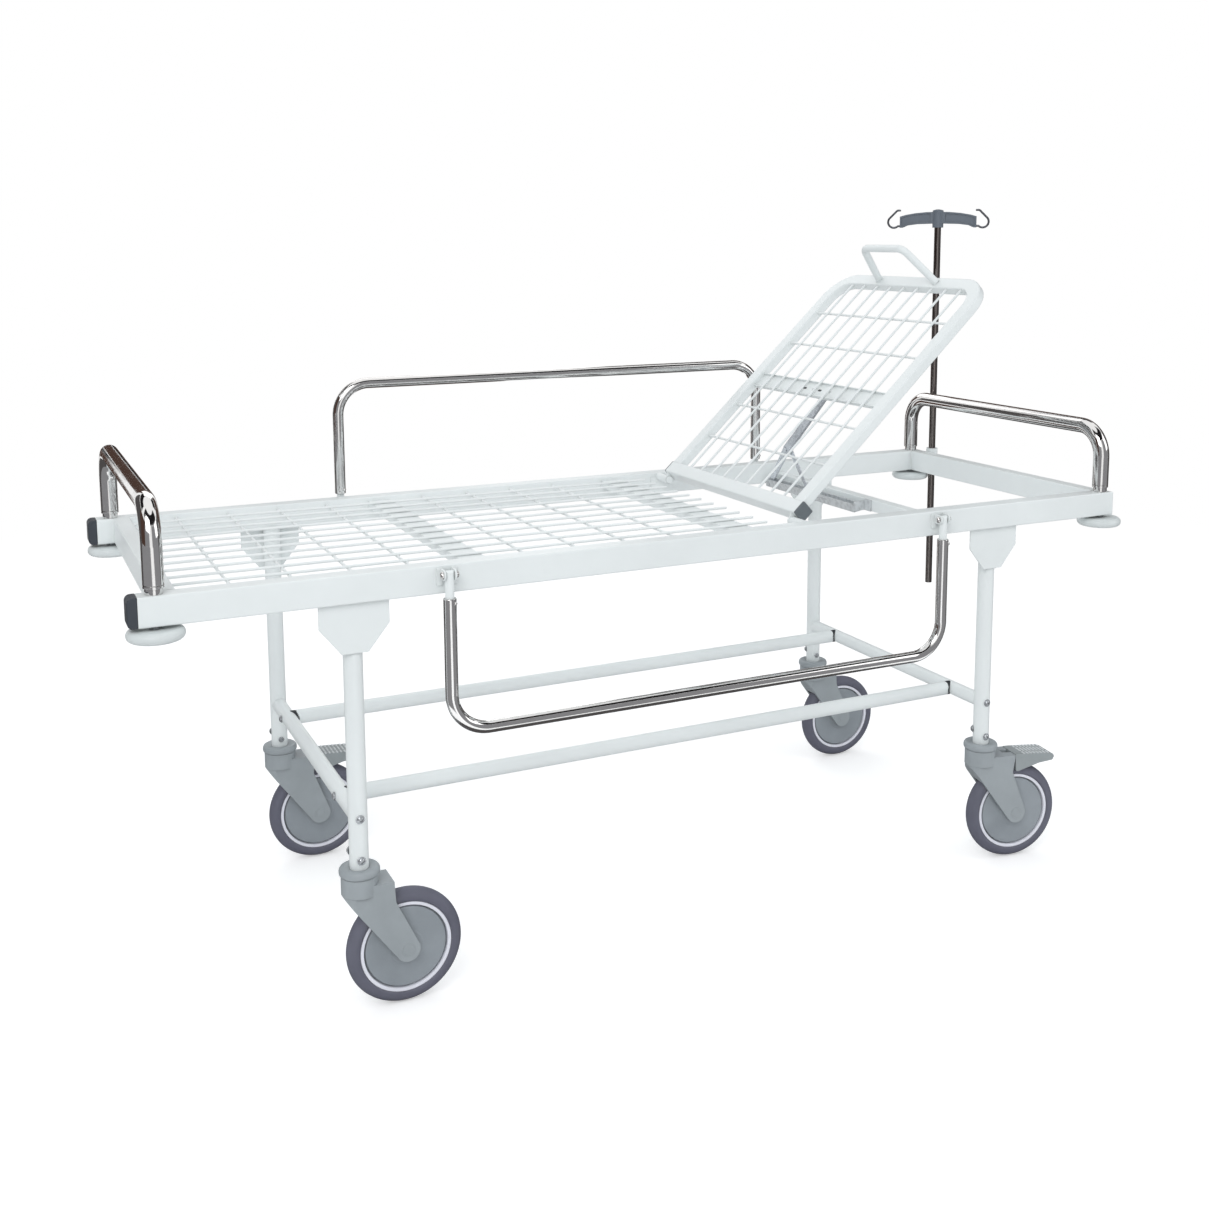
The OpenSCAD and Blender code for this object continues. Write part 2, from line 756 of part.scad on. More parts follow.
// The swivel heads: a rounded collar under each leg, a stem in the leg and a king pin below
module caster_heads() {
    rim = 5;
    placed() color(plastic) at_legs() difference() {
        union() {
            translate([0, 0, head_bottom_z]) {
                cylinder(r = collar_d / 2 - rim, h = collar_h);
                translate([0, 0, rim]) cylinder(r = collar_d / 2, h = collar_h - 2 * rim);
                for (z = [rim, collar_h - rim]) translate([0, 0, z])
                    rotate_extrude() translate([collar_d / 2 - rim, 0]) circle(r = rim);
            }
            translate([0, 0, fork_top - king_pin_h]) cylinder(r = king_pin_r, h = king_pin_h + 4);
            translate([0, 0, leg_bottom - cut]) cylinder(r = leg_d / 2 - tube_wall - gap, h = stem_top - leg_bottom + cut);
        }
        translate([0, 0, leg_bottom - gap]) difference() {
            cylinder(r = leg_d / 2 + gap, h = 20);
            translate([0, 0, -cut]) cylinder(r = leg_d / 2 - tube_wall - gap, h = 22);
        }
        translate([0, 0, stem_bolt_z]) y_rod(frame_bolt_d / 2 + 0.2, -leg_d, leg_d);
        translate([0, 0, stem_cross_z]) rotate([0, 0, stem_cross_turn])
            x_rod(frame_bolt_d / 2 + 0.2, -leg_d, leg_d);
    }
}

// The side outline of a fork, from under its swivel housing to the rounded tip at the axle
module fork_outline(flange, waist) {
    translate([trail, wheel_r]) circle(r = tip_r);
    polygon([
        [-house_r, house_bottom], [-house_r, house_bottom + 1], [0, house_bottom + 1], [0, flange_top],
        [flange, flange_top], [flange, flange_top - 5], [waist, crown_bottom - 16],
        [trail + tip_r, wheel_r + 4], [trail - tip_r * 0.72, wheel_r - tip_r * 0.7]
    ]);
}

// A caster fork with its axle, at the origin of its leg
module fork(braked) {
    flange = braked ? brake_flange_x : flange_x;
    waist = braked ? flange - 5 : flange + 2;
    color(plastic) difference() {
        union() {
            translate([0, 0, house_bottom]) cylinder(r = house_r, h = fork_top - house_bottom);
            intersection() {
                translate([0, arm_out_y, 0]) rotate([90, 0, 0]) linear_extrude(2 * arm_out_y)
                    fork_outline(flange, waist);
                union() {
                    cylinder(r = house_r - 1, h = fork_top);
                    translate([0, -arm_out_y - cut, 0])
                        cube([trail + tip_r + cut, 2 * (arm_out_y + cut), fork_top]);
                }
            }
        }
        translate([0, 0, fork_top - king_pin_h - 1]) cylinder(r = king_pin_r + pin_clear, h = king_pin_h + 2);
        translate([trail, 0, wheel_r]) y_rod(wheel_r + fork_slot, -arm_in_y, arm_in_y);
        translate([trail, 0, wheel_r]) y_rod(axle_d / 2 + pin_clear, -arm_in_y - 6, arm_in_y + 6);
        if (braked) {
            translate([pedal_pivot[0] - pedal_eye_r - 4, -pedal_eye_r - 2, crown_bottom - 10])
                cube([40, 2 * pedal_eye_r + 4, 60]);
            translate([pedal_pivot[0], 0, pedal_pivot[1]]) y_rod(pedal_pin_r + pin_clear, -16, 16);
        }
    }
    color(zinc) translate([trail, 0, wheel_r]) y_rod(axle_d / 2, -arm_in_y - 5.8, arm_in_y + 5.8);
    if (braked) color(zinc) translate([pedal_pivot[0], 0, pedal_pivot[1]]) y_rod(pedal_pin_r, -15.8, 15.8);
}

// A wheel: hub, dished cover and rim around a bore for the axle
module wheel() {
    hub_half = arm_in_y - 0.5;
    rim_half = tyre_w / 2 - 3;
    color(plastic) translate([trail, 0, wheel_r]) rotate([90, 0, 0]) rotate_extrude($fn = 96)
        polygon([
            [axle_d / 2 + pin_clear, -hub_half], [18, -hub_half], [20, -rim_half - 1], [40, -rim_half],
            [62, -rim_half + 2.5], [71, -rim_half + 5], [72, -rim_half + 6], [73, -rim_half], [tyre_inner_r - gap, -rim_half],
            [tyre_inner_r - gap, rim_half], [73, rim_half], [72, rim_half - 6], [71, rim_half - 5],
            [62, rim_half - 2.5], [40, rim_half], [20, rim_half + 1], [18, hub_half], [axle_d / 2 + pin_clear, hub_half]
        ]);
}

// A soft tyre with a rounded tread
module tyre() {
    half = tyre_w / 2;
    shoulder = 9;
    crown = 3;
    color(tyre_grey) translate([trail, 0, wheel_r]) rotate([90, 0, 0]) rotate_extrude($fn = 96) {
        for (s = [-1, 1]) translate([wheel_r - crown - shoulder, s * (half - shoulder)]) circle(r = shoulder);
        polygon([
            [tyre_inner_r, -half + 2], [tyre_inner_r + 2, -half], [wheel_r - crown - shoulder, -half],
            [wheel_r - crown - shoulder, half], [tyre_inner_r + 2, half], [tyre_inner_r, half - 2]
        ]);
        polygon([
            [tyre_inner_r + 4, -half + shoulder], [wheel_r - crown, -half + shoulder],
            [wheel_r, -3], [wheel_r, 3], [wheel_r - crown, half - shoulder], [tyre_inner_r + 4, half - shoulder]
        ]);
    }
}

// A brake pedal that straddles the tyre and turns on a pin in the fork
module pedal() {
    seam = brake_flange_x + 1;
    color(plastic) difference() {
        union() {
            translate([0, arm_out_y - 1, 0]) rotate([90, 0, 0]) linear_extrude(2 * arm_out_y - 2) polygon([
                [seam, flange_top + 1], [seam + 10, flange_top + 1], [148, flange_top - 4],
                [157, flange_top - 8], [159, flange_top - 13], [155, flange_top - 20],
                [124, flange_top - 23], [seam + 6, flange_top - 36], [seam + 2, flange_top - 34],
                [seam, flange_top - 4]
            ]);
            translate([pedal_pivot[0], 0, pedal_pivot[1]]) {
                y_rod(pedal_eye_r, -pedal_eye_r, pedal_eye_r);
                translate([0, -pedal_eye_r, -pedal_eye_r + 1])
                    cube([seam - pedal_pivot[0] + cut, 2 * pedal_eye_r, 2 * pedal_eye_r - 2]);
            }
        }
        translate([trail + 8, 0, wheel_r + 2]) y_rod(wheel_r + 12, -arm_in_y, arm_in_y);
        translate([pedal_pivot[0], 0, pedal_pivot[1]]) y_rod(pedal_pin_r + pin_clear, -20, 20);
        for (k = [0 : 6]) translate([88 + 9 * k, 0, flange_top + 1.7 - 0.64 * k])
            y_rod(2, -arm_out_y, arm_out_y);
    }
}

// A caster part at one of the legs
module at_caster(x, side, turn = 0) {
    placed() translate([x, side * leg_y, 0]) rotate([0, 0, turn]) children();
}

module foot_near_fork() {
    at_caster(-foot_leg_x, -1) fork(false);
}

module foot_near_wheel() {
    at_caster(-foot_leg_x, -1) wheel();
}

module foot_near_tyre() {
    at_caster(-foot_leg_x, -1) tyre();
}

module foot_far_fork() {
    at_caster(-foot_leg_x, 1) fork(true);
}

module foot_far_wheel() {
    at_caster(-foot_leg_x, 1) wheel();
}

module foot_far_tyre() {
    at_caster(-foot_leg_x, 1) tyre();
}

module head_near_fork() {
    at_caster(head_leg_x, -1, -head_near_turn) fork(true);
}

module head_near_wheel() {
    at_caster(head_leg_x, -1, -head_near_turn) wheel();
}

module head_near_tyre() {
    at_caster(head_leg_x, -1, -head_near_turn) tyre();
}

module head_far_fork() {
    at_caster(head_leg_x, 1) fork(false);
}

module head_far_wheel() {
    at_caster(head_leg_x, 1) wheel();
}

module head_far_tyre() {
    at_caster(head_leg_x, 1) tyre();
}

module head_near_pedal() {
    at_caster(head_leg_x, -1, -head_near_turn) pedal();
}

module foot_far_pedal() {
    at_caster(-foot_leg_x, 1) pedal();
}

// Backrest parts are drawn flat, with the origin at the middle of the pivot, then turned up
module on_backrest() {
    placed() translate([hinge_x, 0, hinge_z]) rotate([0, -back_angle, 0]) children();
}

// A flat plate outline of the backrest, drawn in by inset, with two rounded corners at the head end
module back_outline(inset, foot) {
    r = max(back_corner - inset, 2);
    w = back_width - 2 * inset;
    top = back_foot + back_length - inset;
    translate([foot, -w / 2]) square([top - r - foot, w]);
    translate([foot, -w / 2 + r]) square([top - foot, w - 2 * r]);
    for (side = [-1, 1]) translate([top - r, side * (w / 2 - r)]) circle(r = r);
}

// The bent square tube and the bottom tube of the backrest
module backrest_frame() {
    wall = 2;
    start = back_foot + back_tube;
    on_backrest() color(white) translate([0, 0, back_up - back_tube]) difference() {
        union() {
            translate([0, 0, back_tube - back_depth]) linear_extrude(back_depth) difference() {
                back_outline(0, start - cut);
                back_outline(back_tube, start - 2 * cut);
            }
            translate([back_foot, -back_width / 2, 0]) cube([back_tube, back_width, back_tube]);
        }
        translate([0, 0, back_tube - back_depth + wall]) linear_extrude(back_depth - 2 * wall) difference() {
            back_outline(wall, start + wall);
            back_outline(back_tube - wall, start - cut);
        }
        translate([back_foot + wall, -back_width / 2 - cut, wall])
            cube([back_tube - 2 * wall, back_width + 2 * cut, back_tube - 2 * wall]);
        translate([back_foot + back_tube / 2, 0, 0]) for (side = [-1, 1])
            translate([0, side * (back_width / 2 - 30), -cut]) cylinder(r = 1.5, h = wall + 2 * cut);
    }
}

// The welded wires of the backrest
module backrest_mesh() {
    z = back_up - back_wire_drop;
    inner = back_width / 2 - back_tube;
    on_backrest() color(white) {
        for (k = [0 : back_wires - 1])
            translate([0, (k - (back_wires - 1) / 2) * back_wire_pitch, z])
                x_rod(wire_r, back_foot + back_tube + 0.1, back_foot + back_length - back_tube - 0.1);
        for (k = [1, 2, 4, 5]) translate([back_foot + 26 + k * cross_wire_pitch, 0, z - wire_d + weld_sink])
            y_rod(wire_r, -inner, inner);
    }
}

// The broad strip across the backrest that the ratchet pushes on
module backrest_strip() {
    inner = back_width / 2 - back_tube;
    z = back_up - strip_under;
    on_backrest() color(white) difference() {
        union() {
            translate([back_foot + strip_s - strip_w / 2, -inner, z]) cube([strip_w, 2 * inner, strip_t]);
            for (k = [-1, 1]) translate([back_foot + strip_s + k * (strip_w / 2 - 2) - 1, -inner, z])
                cube([2, 2 * inner, strip_t + wire_d - weld_sink - 0.1]);
        }
        for (y = [20, -45]) translate([back_foot + strip_s, y, z - cut]) cylinder(r = 3, h = strip_t + 2 * cut);
    }
}

// The lifting handle: a bent tube that stands on the head tube
module backrest_handle() {
    r = handle_d / 2;
    bend = 22;
    x = back_foot + back_length - back_tube / 2;
    side = atan2(handle_h, (handle_base - handle_grip) / 2);
    run = norm([handle_h, (handle_base - handle_grip) / 2]);
    tangent = bend * tan(side / 2);
    sink = 3;
    on_backrest() color(white) translate([x, 0, back_up]) difference() {
        union() {
            for (s = [0, 1]) mirror([0, s, 0]) translate([0, handle_grip / 2, handle_h]) {
                translate([0, -tangent, -bend]) rotate([90, 0, 90]) rotate([0, 0, 90 - side])
                    rotate_extrude(angle = side) translate([bend, 0]) circle(r = r);
                rotate([270 - side, 0, 0]) {
                    translate([0, 0, tangent + seam]) cylinder(r = r, h = run - tangent + sink);
                    translate([0, 0, tangent - 1]) cylinder(r = r + seam, h = 2);
                }
                y_rod(r + seam, -tangent - 1, -tangent + 1);
            }
            translate([0, 0, handle_h])
                y_rod(r, tangent + seam - handle_grip / 2, handle_grip / 2 - tangent - seam);
        }
        translate([-back_tube, -handle_base, -20]) cube([2 * back_tube, 2 * handle_base, 20 + seam]);
    }
}

// Square caps in the ends of the bottom tube
module backrest_end_caps() {
    plug = 12;
    wall = 2;
    on_backrest() color(black) both_sides()
        translate([back_foot + back_tube / 2, -back_width / 2, back_up - back_tube / 2]) {
            translate([-back_tube / 2, -4, -back_tube / 2]) cube([back_tube, 4, back_tube]);
            translate([-back_tube / 2 + wall + gap, 0, -back_tube / 2 + wall + gap])
                cube([back_tube - 2 * (wall + gap), plug, back_tube - 2 * (wall + gap)]);
        }
}

// The lugs that carry the backrest on its pivot
module backrest_lugs() {
    on_backrest() color(white) both_sides() translate([0, -lug_y, 0]) rotate([90, 0, 0]) difference() {
        linear_extrude(lug_t) {
            circle(r = lug_r);
            polygon([[0, lug_r], [back_foot, back_up - 2], [back_foot, back_up - back_tube + 1], [2, 0.3 - lug_r]]);
        }
        translate([0, 0, -cut]) cylinder(r = hinge_pin_r + pin_clear, h = lug_t + 2 * cut);
    }
}

// The fixed pivot pins of the backrest, on plates welded to the rails
module backrest_hinge_pins() {
    reach = rail_inner_y - lug_y + 3;
    boss = rail_inner_y - lug_y - lug_t - gap;
    placed() color(white) both_sides() translate([hinge_x, -rail_inner_y, hinge_z]) {
        y_rod(hinge_pin_r, 0, reach);
        y_rod(9, 0, boss);
        y_rod(8, reach - 2.5, reach + 0.5);
        translate([-hinge_plate_w / 2, 0, -hinge_plate_h]) cube([hinge_plate_w, 3, hinge_plate_h]);
    }
}

// Ratchet parts are drawn in the plane that the arm swings in: x is Y of the stretcher, y is up
// along the lean, and thickness runs along the pins
module in_ratchet_plane() {
    placed() translate([ratchet_x, 0, ratchet_z]) rotate([0, -lean, 0]) rotate([90, 0, 90]) children();
}

// A flat piece of the ratchet between two depths along the pins
module leaf(from, to) {
    translate([0, 0, from]) linear_extrude(to - from) children();
}

// The perforated channel that the strut's foot slides in
module ratchet_channel() {
    inner = channel_half - channel_wall;
    hole_pitch = 8;
    in_ratchet_plane() color(zinc) {
        difference() {
            translate([channel_near_y, -channel_half, -channel_half])
                cube([channel_far_y - channel_near_y, channel_w, channel_w]);
            translate([channel_near_y + 3, -channel_half + channel_wall, -inner])
                cube([channel_far_y - channel_near_y - 6, channel_w, 2 * inner]);
            for (k = [0 : 12]) translate([strut_foot[0] - k * hole_pitch, 2, -channel_half - cut])
                cylinder(r = 1.8, h = channel_wall + 2 * cut);
            for (x = [channel_near_y, channel_far_y - 3]) translate([x, 0, 0]) x_rod(4 + pin_clear, -cut, 3 + cut);
            translate([arm_root[0], arm_root[1], -channel_w]) cylinder(r = ratchet_pin_r + pin_clear, h = 2 * channel_w);
        }
        translate([arm_root[0], arm_root[1], -channel_half - 3]) cylinder(r = 5.5, h = 3 - 0.05);
        translate([arm_root[0], arm_root[1], -channel_half - cut]) cylinder(r = ratchet_pin_r, h = channel_w + 2 * cut);
        translate([arm_root[0], arm_root[1], channel_half + 0.05]) cylinder(r = 5.5, h = 3);
    }
}

// The lower plate of the arm, from the channel to the apex
module ratchet_plate() {
    along = (arm_tip - apex) / norm(arm_tip - apex);
    in_ratchet_plane() color(zinc) {
        difference() {
            leaf(-4, -1) {
                link_outline(arm_root, 6.5, apex, 10);
                link_outline(apex, 10, apex + 20 * along, 8);
            }
            translate([arm_root[0], arm_root[1], -10]) cylinder(r = ratchet_pin_r + pin_clear, h = 20);
        }
        translate([apex[0], apex[1], -8]) cylinder(r = 5.5, h = 1.9);
        translate([apex[0], apex[1], -6.2]) cylinder(r = ratchet_pin_r - 0.2, h = 15.2);
        translate([apex[0], apex[1], 7]) cylinder(r = 5.5, h = 2);
    }
}

// The long arm: a channel with a ball end that slides under the strip
module ratchet_arm() {
    along = (arm_tip - apex) / norm(arm_tip - apex);
    across = [-along[1], along[0]];
    half = 9;
    start = apex + 26 * along;
    end = arm_tip - 4 * along;
    in_ratchet_plane() color(zinc) {
        difference() {
            leaf(-6.1, -4.1) link_outline(apex, half, arm_tip - 12 * along, 7);
            translate([apex[0], apex[1], -10]) cylinder(r = ratchet_pin_r, h = 20);
        }
        for (s = [-1, 1]) leaf(-4.2, 3) polygon([
            start + s * half * across, start + s * (half - 2) * across,
            end + s * 3 * across, end + s * 5 * across
        ]);
        translate([arm_tip[0], arm_tip[1], 0]) sphere(r = ball_r);
        leaf(-6.1, 3) link_outline(arm_tip - 16 * along, 5, arm_tip, 5);
    }
}

// The strut that props the arm, with the pin that slides in the channel
module ratchet_strut() {
    in_ratchet_plane() color(zinc) {
        difference() {
            leaf(4.4, 6.4) link_outline(apex, 8, strut_foot, 5);
            translate([apex[0], apex[1], 0]) cylinder(r = ratchet_pin_r - 0.2 + pin_clear, h = 20);
        }
        translate([strut_foot[0], strut_foot[1], -6.4]) cylinder(r = 2.5, h = 12);
    }
}

// The sleeve on the head cross rail that guides the drip pole
module pole_sleeve() {
    placed() color(white) translate([pole_x, pole_y, sleeve_bottom]) difference() {
        union() {
            cylinder(r = sleeve_r, h = sleeve_top - sleeve_bottom);
            translate([-pole_out, -6, sleeve_bottom < rail_bottom ? rail_bottom - sleeve_bottom : 0])
                cube([pole_out, 12, rail_height]);
        }
        translate([0, 0, -cut]) cylinder(r = pole_r + pin_clear, h = sleeve_top - sleeve_bottom + 2 * cut);
        translate([0, 0, (sleeve_top - sleeve_bottom) / 2]) y_rod(3, -2 * sleeve_r, 0);
    }
}

// The clamp screw that holds the pole at its height
module pole_clamp_screw() {
    z = (sleeve_top + sleeve_bottom) / 2;
    placed() color(black) translate([pole_x, pole_y, z]) {
        y_rod(3 - pin_clear, -sleeve_r - 8, -pole_r - gap);
        y_rod(9, -sleeve_r - 16, -sleeve_r - 2);
    }
}

// The drip pole
module drip_pole() {
    placed() color(chrome) translate([pole_x, pole_y, pole_bottom]) difference() {
        cylinder(r = pole_r, h = pole_top - 4 - pole_bottom);
        translate([0, 0, -cut]) cylinder(r = pole_r - 1.5, h = pole_top - pole_bottom - 8);
    }
}

// Parts of the hook bar, drawn along X in the middle of the pole's top and turned to their place
module at_hook_bar() {
    placed() translate([pole_x, pole_y, pole_top]) rotate([0, 0, hook_turn]) children();
}

// The arched hook bar with recessed panels and a hub over the pole's end
module hook_bar() {
    half_t = 7;
    at_hook_bar() color(bar_grey) difference() {
        union() {
            translate([0, 0, -hub_h]) cylinder(r = hub_r, h = hub_h);
            sphere_cap();
            for (s = [0, 1]) mirror([s, 0, 0]) translate([0, half_t, 0]) rotate([90, 0, 0])
                linear_extrude(2 * half_t) arm_outline(0);
        }
        for (s = [0, 1]) mirror([s, 0, 0]) for (side = [-1, 1])
            translate([0, side * (half_t + 1), 0]) rotate([90, 0, 0])
                linear_extrude(6, center = true) arm_outline(4);
        translate([0, 0, -hub_h - cut]) cylinder(r = pole_r + pin_clear, h = hub_h - 4 + cut);
        for (s = [-1, 1]) translate([s * (hook_bar_half - 12), 0, -hook_drop])
            x_rod(hook_wire_r + 0.1, s > 0 ? 0 : -14, s > 0 ? 14 : 0);
    }
}

// The low dome on the hook bar's hub
module sphere_cap() {
    intersection() {
        translate([0, 0, -26]) sphere(r = 30);
        cylinder(r = hub_r, h = 10);
    }
}

// Side outline of one half of the hook bar, drawn in by inset
module arm_outline(inset) {
    start = inset > 0 ? hub_r + 5 : 0;
    polygon([
        [start, -2 - inset], [0.3 * hook_bar_half, -2.5 - inset], [0.6 * hook_bar_half, -5 - inset],
        [0.85 * hook_bar_half, -9 - inset], [hook_bar_half - inset, -13 - inset],
        [hook_bar_half - inset, -40 + inset], [0.94 * hook_bar_half - inset, -40 + inset],
        [0.8 * hook_bar_half, -34.5 + inset], [0.55 * hook_bar_half, -31.5 + inset], [start, -30 + inset]
    ]);
}

// Bent wire hooks: a pin in the bar's end, a round loop below, a slanted run back and a level tip
module pole_hooks() {
    at_hook_bar() color(black) for (s = [0, 1]) mirror([s, 0, 0]) translate([hook_bar_half + 1, 0, 0]) {
        translate([0, 0, -hook_drop]) x_rod(hook_wire_r, -12, hook_wire_r);
        translate([hook_r, 0, -hook_drop + 10]) rotate([90, 0, 0]) {
            rotate([0, 0, 212]) rotate_extrude(angle = 193) translate([hook_r, 0]) circle(r = hook_wire_r);
            rotate([0, 0, 45]) translate([hook_r, 0, 0]) {
                wire_run(23);
                translate([-6, 23, 0]) {
                    rotate_extrude(angle = 45) translate([6, 0]) circle(r = hook_wire_r);
                    rotate([0, 0, 45]) translate([6, 0, 0]) wire_run(6);
                }
            }
        }
    }
}

// A straight run of hook wire along Y, with the joints to its neighbours covered
module wire_run(length) {
    y_rod(hook_wire_r, seam, length - seam);
    for (y = [0, length]) translate([0, y, 0]) y_rod(hook_wire_r + seam, -0.5, 0.5);
}

near_rail();
far_rail();
foot_cross_rail();
head_cross_rail();
rail_end_caps();
deck_flat_bars();
deck_mesh();
ratchet_cross_tube();
ratchet_brackets();
foot_push_bar();
head_push_bar();
push_bar_spigots();
bumper_bolts();
foot_near_bumper();
foot_far_bumper();
head_near_bumper();
head_far_bumper();
guard_brackets();
guard_pivot_bolts();
near_guard();
near_guard_links();
far_guard();
far_guard_links();
legs();
leg_plates();
lower_cross_tubes();
lower_long_tubes();
tube_saddles();
leg_bolts();
caster_heads();
foot_near_fork();
foot_near_wheel();
foot_near_tyre();
foot_far_fork();
foot_far_wheel();
foot_far_tyre();
head_near_fork();
head_near_wheel();
head_near_tyre();
head_far_fork();
head_far_wheel();
head_far_tyre();
head_near_pedal();
foot_far_pedal();
backrest_frame();
backrest_mesh();
backrest_strip();
backrest_handle();
backrest_end_caps();
backrest_lugs();
backrest_hinge_pins();
ratchet_channel();
ratchet_arm();
ratchet_plate();
ratchet_strut();
pole_sleeve();
pole_clamp_screw();
drip_pole();
hook_bar();
pole_hooks();
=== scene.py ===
"""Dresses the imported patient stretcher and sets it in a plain, pale studio."""
from __future__ import annotations

import json
import logging
import math
from dataclasses import dataclass, field
from enum import Enum
from typing import Callable, Iterable, Sequence

import bmesh
import bpy
from mathutils import Matrix, Vector

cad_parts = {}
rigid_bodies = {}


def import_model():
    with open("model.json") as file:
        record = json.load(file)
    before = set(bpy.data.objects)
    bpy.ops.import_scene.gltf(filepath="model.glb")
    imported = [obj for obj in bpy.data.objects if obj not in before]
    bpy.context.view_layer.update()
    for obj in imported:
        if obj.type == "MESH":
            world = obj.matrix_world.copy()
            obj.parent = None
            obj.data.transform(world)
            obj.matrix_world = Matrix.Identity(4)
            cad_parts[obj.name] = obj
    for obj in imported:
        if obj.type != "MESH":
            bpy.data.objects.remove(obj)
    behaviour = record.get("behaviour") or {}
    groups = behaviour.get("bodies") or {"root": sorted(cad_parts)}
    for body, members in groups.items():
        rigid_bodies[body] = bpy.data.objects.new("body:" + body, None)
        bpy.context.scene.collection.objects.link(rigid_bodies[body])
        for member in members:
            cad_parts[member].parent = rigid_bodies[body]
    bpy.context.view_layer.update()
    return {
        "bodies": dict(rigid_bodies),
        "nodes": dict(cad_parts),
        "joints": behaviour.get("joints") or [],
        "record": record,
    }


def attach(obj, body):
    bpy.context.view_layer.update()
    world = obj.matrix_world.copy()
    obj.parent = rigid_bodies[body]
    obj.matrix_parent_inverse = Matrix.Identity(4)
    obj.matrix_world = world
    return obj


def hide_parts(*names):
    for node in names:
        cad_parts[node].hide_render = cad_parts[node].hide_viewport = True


LOG = logging.getLogger("stretcher")
MM = 0.001
ORIGIN_X = 43.1312
PHOTO_SIDE = 1209
SMOOTH_BELOW = math.radians(32)
UP = Vector((0, 0, 1))
WAYS = (-1, 1)
STAND_UP = Matrix.Rotation(math.pi / 2, 4, "X")

# Sizes and places on the drawing that several pieces share, in mm.
WIRE_R = 2.5
NUGGET = ((-3.4, 2.6), (-1.5, 2.4), (1.5, 2.4), (3.4, 2.6))
CORNER_Y = 322.5
LEG_Y = 313.0
GUARD_FEET = (-487.0, 516.0)
FLAT_BAR_X = (-420.0, 110.0)

Colour = tuple[float, float, float]
Pair = tuple[float, float]
Socket = bpy.types.NodeSocket


class Side(Enum):
    """The two long sides of the stretcher."""

    NEAR = -1
    FAR = 1

    @property
    def word(self) -> str:
        """Returns the side's word in the names of nodes."""
        return self.name.lower()


class End(Enum):
    """The two short ends of the stretcher, each with where its corners and its legs stand."""

    FOOT = (-943.0, -640.0)
    HEAD = (949.0, 661.0)

    @property
    def word(self) -> str:
        """Returns the end's word in the names of nodes."""
        return self.name.lower()

    @property
    def corner_x(self) -> float:
        """Returns where the end's corner bolts and its push bar stand."""
        return self.value[0]

    @property
    def leg_x(self) -> float:
        """Returns where the end's legs stand."""
        return self.value[1]


class Guard(Enum):
    """How a side guard is stored: hanging below its hinge or standing above it."""

    HANGING = -1
    UPRIGHT = 1


class Tone(Enum):
    """The tones of the cards that polished metal reflects."""

    BROWN = (0.075, 0.045, 0.036)
    DARK = (0.014, 0.013, 0.014)
    GREY = (0.085, 0.08, 0.08)
    PALE = (0.26, 0.26, 0.27)


def linear(*channels: int) -> Colour:
    """Turns a display colour, from 0 to 255, into the renderer's linear light."""
    parts = [channel / 255 for channel in channels]
    return tuple(part / 12.92 if part <= 0.04045 else ((part + 0.055) / 1.055) ** 2.4 for part in parts)


def at(x: float, y: float, z: float) -> Vector:
    """Turns a place on the drawing, in mm from the middle of the rails, into the model's metres."""
    return Vector(((x - ORIGIN_X) * MM, y * MM, z * MM))


def arc(centre: Pair, radius: float, degrees: Iterable[float]) -> list[Pair]:
    """Returns the points of a circle at the given angles."""
    return [(centre[0] + radius * math.cos(turn), centre[1] + radius * math.sin(turn))
            for turn in (math.radians(angle) for angle in degrees)]


def square_to(axis: Vector) -> Vector:
    """Returns a direction square to an axis."""
    return axis.cross(UP if abs(axis.z) < 0.9 else Vector((1, 0, 0))).normalized()


def circle(centre: Vector, across: Vector, other: Vector, radius: float, sides: int) -> list[Vector]:
    """Returns the points of a circle in the plane of two directions."""
    return [centre + (across * math.cos(angle) + other * math.sin(angle)) * radius
            for angle in (2 * math.pi * side / sides for side in range(sides))]


# ---------------------------------------------------------------- node groups


